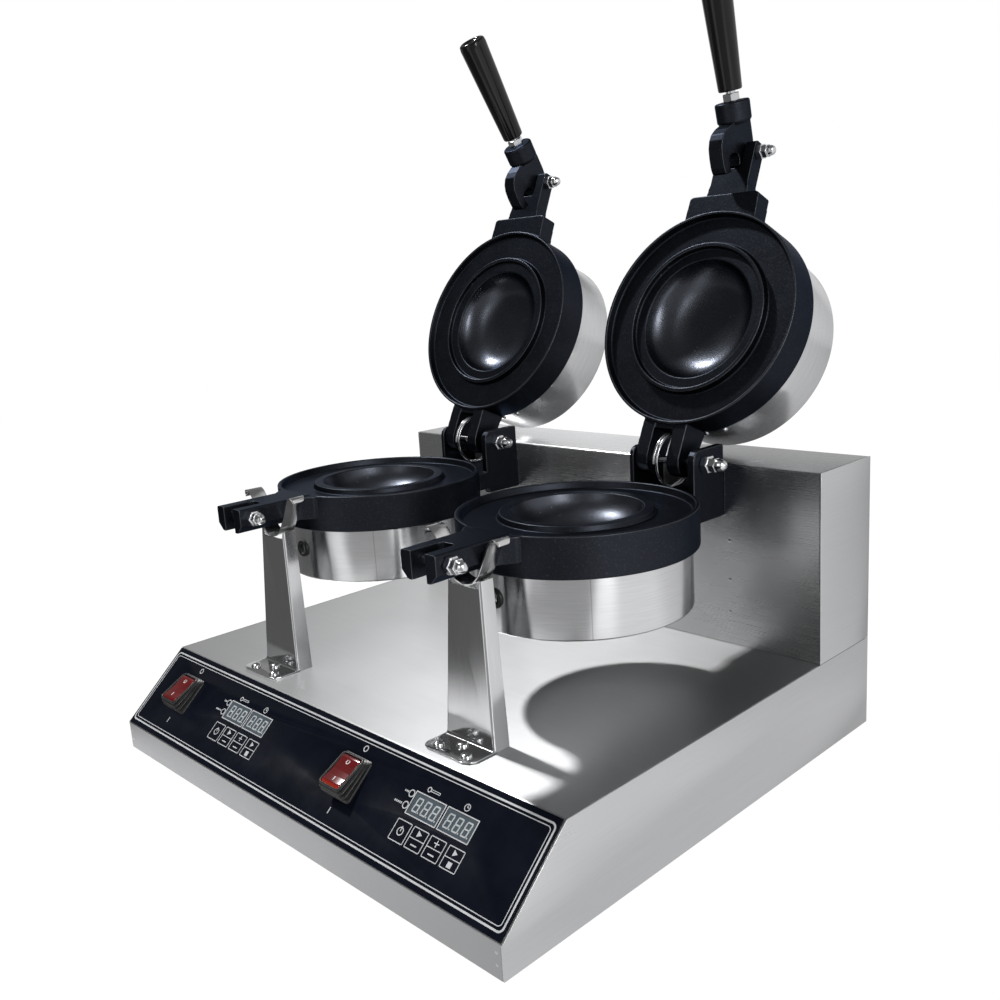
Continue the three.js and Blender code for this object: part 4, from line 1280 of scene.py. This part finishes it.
def build_station(side):
    here, press, latch = station_place(side), press_place(side), latch_place(side)

    def add(name, recipe, finish, node=None, place=here, body="base"):
        """recipe: a part function and its arguments."""
        piece(f"{side}_{name}", shared(*recipe), finish, body, node and f"{side}_{node}",
              place)

    # lower half and post, fixed to the base
    add("lower_casting", (lower_casting,), COATED_LOW, "lower_plate")
    add("lower_drum_shell", (lower_drum,), STEEL_DRUM, "lower_drum")
    hole = here @ at(GROMMET_X, PLATE_Y - DRUM_R, GROMMET_Z)
    add("drum_grommet", (grommet,), RUBBER, place=hole)
    add("grommet_clip", (grommet_clip,), BRIGHT, place=hole)
    add("lower_heater_ring", (heater_ring, 185, 1.5, 192.6, 0.8), HEATER, "lower_heater")
    add("hinge_bolt_bright", (bolt, -34.9, 47, -36.6, -32.6, HINGE_Y, HINGE_Z), BRIGHT,
        "hinge_bolt")
    add("hinge_cap_nut", (hinge_nut,), BRIGHT, "hinge_nut", here @ at(32.7, HINGE_Y, HINGE_Z))
    add("hinge_coil", (hinge_coil,), SPRING, "hinge_spring")
    add("post_channel", (post,), STEEL_POST, "support_post")
    for k, (x, y) in enumerate(POST_SCREWS):
        add(f"foot_screw_{k}", (pan_screw,), BRIGHT,
            place=here @ at(x, y, DECK + 1.6) @ spin(0.5 + k * 0.9))
    flange_x, flange_z, taper = 24.6, 77, 0.0667   # outer face of the channel's right flange
    for k, z in enumerate((84.5, 90.0)):
        place = here @ at(flange_x - (z - flange_z) * taper, -121.0, z)
        add(f"flange_rivet_{k}", (rivet, 0.95, 0.3), STEEL_POST,
            place=place @ Matrix.Rotation(PI / 2, 4, "Y"))
    add("cradle_spring_strap", (strap,), STRAP, "cradle_strap")
    add("catch_bolt_bright", (bolt, -19.6, 29, -21.8, -17.8, CATCH_Y, CATCH_Z), BRIGHT,
        "catch_bolt")
    add("catch_cap_nut", (cap_nut,), BRIGHT, "catch_nut", here @ at(17.9, CATCH_Y, CATCH_Z))

    # upper half, on the hinge
    body = side + "_press"
    add("upper_casting", (upper_casting,), COATED, "upper_plate", press, body)
    add("upper_drum_shell", (drum, 301.5, 254.8, UPPER_DRUM_R, UPPER_DRUM_SHIFT),
        STEEL_DRUM_TOP, "upper_drum", press, body)
    add("upper_heater_ring", (heater_ring, 254.9, 0.8, 262.5, 1.5), HEATER, "upper_heater",
        press, body)
    for k, degrees in enumerate((8.0, 20.0)):
        angle = math.radians(degrees)
        rim = at(UPPER_DRUM_R * math.sin(angle),
                 PLATE_Y + UPPER_DRUM_SHIFT + UPPER_DRUM_R * math.cos(angle), 259.5)
        add(f"drum_screw_{k}", (drum_screw,), BRIGHT,
            place=press @ rim @ spin(-angle) @ tilt(-90), body=body)
    add("clevis_bolt_bright", (bolt, -20.5, 29.5, -22.4, -18.6, CLEVIS_Y, CLEVIS_Z), BRIGHT,
        "clevis_bolt", press, body)
    add("clevis_cap_nut", (cap_nut,), BRIGHT, "clevis_nut",
        press @ at(18.7, CLEVIS_Y, CLEVIS_Z), body)

    # latch lever and handle
    body = side + "_latch"
    add("lever_casting", (lever_casting,), COATED_LEVER, "latch_lever", latch, body)
    add("stud_bright", (stud,), BRIGHT, "handle_stud", latch, body)
    add("grip_black", (grip,), GRIP, "handle_grip", latch, body)


for side in SIDES:
    build_station(side)

# ------------------------------------------------------------------ floor
# What the metal sees of the floor: (heading in degrees, grey).
FLOOR_FAR = ((-180, 0.5), (-134, 0.25), (-60, 0.12), (-26, 0.13), (-14, 1.0), (-4, 1.05),
             (4, 0.40), (56, 0.42), (62, 1.25), (72, 1.25), (80, 0.95), (110, 0.95),
             (124, 0.76), (150, 0.60), (180, 0.3))
FLOOR_NEAR = ((-180, 0.8), (-90, 1.4), (0, 1.1), (60, 0.72), (120, 0.70), (180, 0.8))


def floor_paper():
    """White to the camera; reflections see greys that vary with heading and distance."""
    made, sh, place = new_material("floor_paper")
    grain = sh.noise(place, scale=30, detail=3, roughness=0.5)
    sh.surface({"Base Color": sh.mix(grain, (0.90, 0.90, 0.90), (0.93, 0.93, 0.93)),
                "Roughness": 0.9})
    lit = Value(sh, sh.nodes["Principled BSDF"].outputs[0])
    glow = sh.value("Emission", {"Color": sh.mix(grain, (0.995, 0.995, 0.995), (1, 1, 1)),
                                 "Strength": 1.04})
    glow_share = 0.97
    paper = sh.mix_shaders(glow_share, lit, glow)

    x, y, z = sh.split(place)
    distance = sh.value("VectorMath", {0: place}, output="Value", operation="LENGTH")
    near_radius, fade = 0.36, 9.0   # metres, and rise per metre beyond it
    far_share = sh.math("MAXIMUM", (distance - near_radius) * fade, 0.0)
    far_share = sh.math("MINIMUM", far_share, 1.0)
    compass = sh.compass(x, y)
    far = sh.compass_ramp(compass, FLOOR_FAR)
    near = sh.compass_ramp(compass, FLOOR_NEAR)
    reflected = sh.value("Emission", {"Color": sh.mix(far_share, near, far)})
    to_camera = sh.value("LightPath", output="Is Camera Ray")
    sh.fill(sh.nodes["Material Output"],
            {"Surface": sh.mix_shaders(to_camera, reflected, paper)})
    return made


def build_floor():
    count, radius, level = 96, 3.2, -0.0082   # metres
    verts = [(0, 0, level)] + [(x, y, level) for x, y in circle(0, 0, radius, radius, count)]
    mesh = bpy.data.meshes.new("studio_floor")
    mesh.from_pydata(verts, [], [(0, k + 1, (k + 1) % count + 1) for k in range(count)])
    part = bpy.data.objects.new("studio_floor", mesh)
    link(part)
    mesh.materials.append(floor_paper())


build_floor()

# ------------------------------------------------------------------ world
# Surroundings at mid height and close to the horizon: (heading in degrees, grey).
SKY_RING = ((-180, 0.4), (-155, 0.24), (-118, 0.20), (-60, 0.10), (-22, 0.10), (-8, 0.4),
            (2, 0.6), (12, 0.25), (54, 0.22), (62, 1.6), (78, 1.6), (88, 0.6), (110, 0.85),
            (145, 0.80), (168, 0.6), (180, 0.5))
SKY_HORIZON = ((-180, 0.8), (-152, 0.8), (-118, 0.8), (-98, 0.22), (-60, 0.09), (-24, 0.09),
               (-8, 0.8), (3, 0.9), (12, 0.35), (56, 0.35), (63, 1.2), (72, 1.2), (80, 0.8),
               (150, 0.8), (180, 0.6))
# Blends over elevation, where 1 is straight up: (elevation, share).
TO_RING = ((0.0, 0.0), (0.17, 0.0), (0.24, 1.0), (1.0, 1.0))
TO_ZENITH = ((0.0, 0.0), (0.42, 0.0), (0.60, 1.0), (1.0, 1.0))
# Share of the ground grey, where 0 is straight down and 0.5 the horizon.
TO_GROUND = ((0.0, 0.6), (0.47, 0.6), (0.5, 0.0), (1.0, 0.0))


def build_world():
    """White to the camera; a studio of grey bands to everything else."""
    world = bpy.data.worlds.new("studio")
    scene.world = world
    sh = Shader(world)
    x, y, z = sh.split(sh.coords("Generated"))
    compass = sh.compass(x, y)
    elevation = sh.math("ARCSINE", z) / (PI / 2)
    ring_color = sh.compass_ramp(compass, SKY_RING)
    horizon_color = sh.compass_ramp(compass, SKY_HORIZON)
    to_ring = sh.grey_ramp(elevation, TO_RING)
    to_zenith = sh.grey_ramp(elevation, TO_ZENITH)
    zenith, ground = grey(0.16), grey(0.6)
    color = sh.mix(to_zenith, sh.mix(to_ring, horizon_color, ring_color), zenith)
    to_ground = sh.grey_ramp(elevation * 0.5 + 0.5, TO_GROUND)
    color = sh.mix(to_ground, color, ground)
    background = sh.nodes["Background"]
    sh.fill(background, {"Color": color, "Strength": 1.0})
    to_camera = sh.value("LightPath", output="Is Camera Ray")
    white = sh.value("Background", {"Color": (1, 1, 1, 1), "Strength": 1.0})
    sh.fill(sh.nodes["World Output"], {"Surface": sh.mix_shaders(
        to_camera, Value(sh, background.outputs[0]), white)})


build_world()


# ------------------------------------------------------------------ lights (metres, watts)
def softbox(name, location, target, width, height, power):
    light = bpy.data.lights.new(name, "AREA")
    light.shape = "RECTANGLE"
    light.size = width
    light.size_y = height
    light.energy = power
    light.spread = PI
    lamp = bpy.data.objects.new(name, light)
    link(lamp)
    lamp.location = location
    lamp.rotation_mode = "QUATERNION"
    aim = Vector(target) - Vector(location)
    lamp.rotation_quaternion = aim.to_track_quat("-Z", "Y")
    lamp.visible_camera = False
    return lamp


key = softbox("left_key", location=(-2.95, 0.03, 4.1), target=(0.0, 0.0, 0.15),
              width=0.30, height=0.30, power=185)
# the left station and the switch boots throw no shadow from the key light
blockers = bpy.data.collections.new("key_flags")
for part in PIECES:
    if not part.name.startswith("left_"):
        blockers.objects.link(part)
key.light_linking.blocker_collection = blockers
softbox("front_box", location=(0.05, -1.7, 0.95), target=(0, 0, 0.25),
        width=0.35, height=0.7, power=1.6)
softbox("right_box", location=(1.72, -0.60, 0.95), target=(0, 0, 0.25),
        width=0.35, height=0.9, power=9)


# ------------------------------------------------------------------ camera
def build_camera():
    """Looks from the front right, slightly down."""
    elevation, heading, roll = (math.radians(v) for v in (12.23, 46.29, -3.6))
    back = Vector((math.sin(heading) * math.cos(elevation),
                   -math.cos(heading) * math.cos(elevation), math.sin(elevation)))
    level = Vector((math.cos(heading), math.sin(heading), 0))
    upright = back.cross(level)
    right = level * math.cos(roll) + upright * math.sin(roll)
    up = -level * math.sin(roll) + upright * math.cos(roll)
    lens = bpy.data.cameras.new("camera")
    camera = bpy.data.objects.new("camera", lens)
    link(camera)
    axes = Matrix((right, up, back)).transposed().to_4x4()
    camera.matrix_world = Matrix.Translation((0.62176, -0.56288, 0.39716)) @ axes
    lens.sensor_width = 36
    lens.lens = 36.77724
    lens.shift_x = -0.00191
    lens.shift_y = -0.00534
    lens.clip_start = 0.01
    lens.clip_end = 50
    scene.camera = camera


build_camera()

scene.view_settings.view_transform = "Standard"
scene.view_settings.look = "None"
scene.view_settings.exposure = 0.0
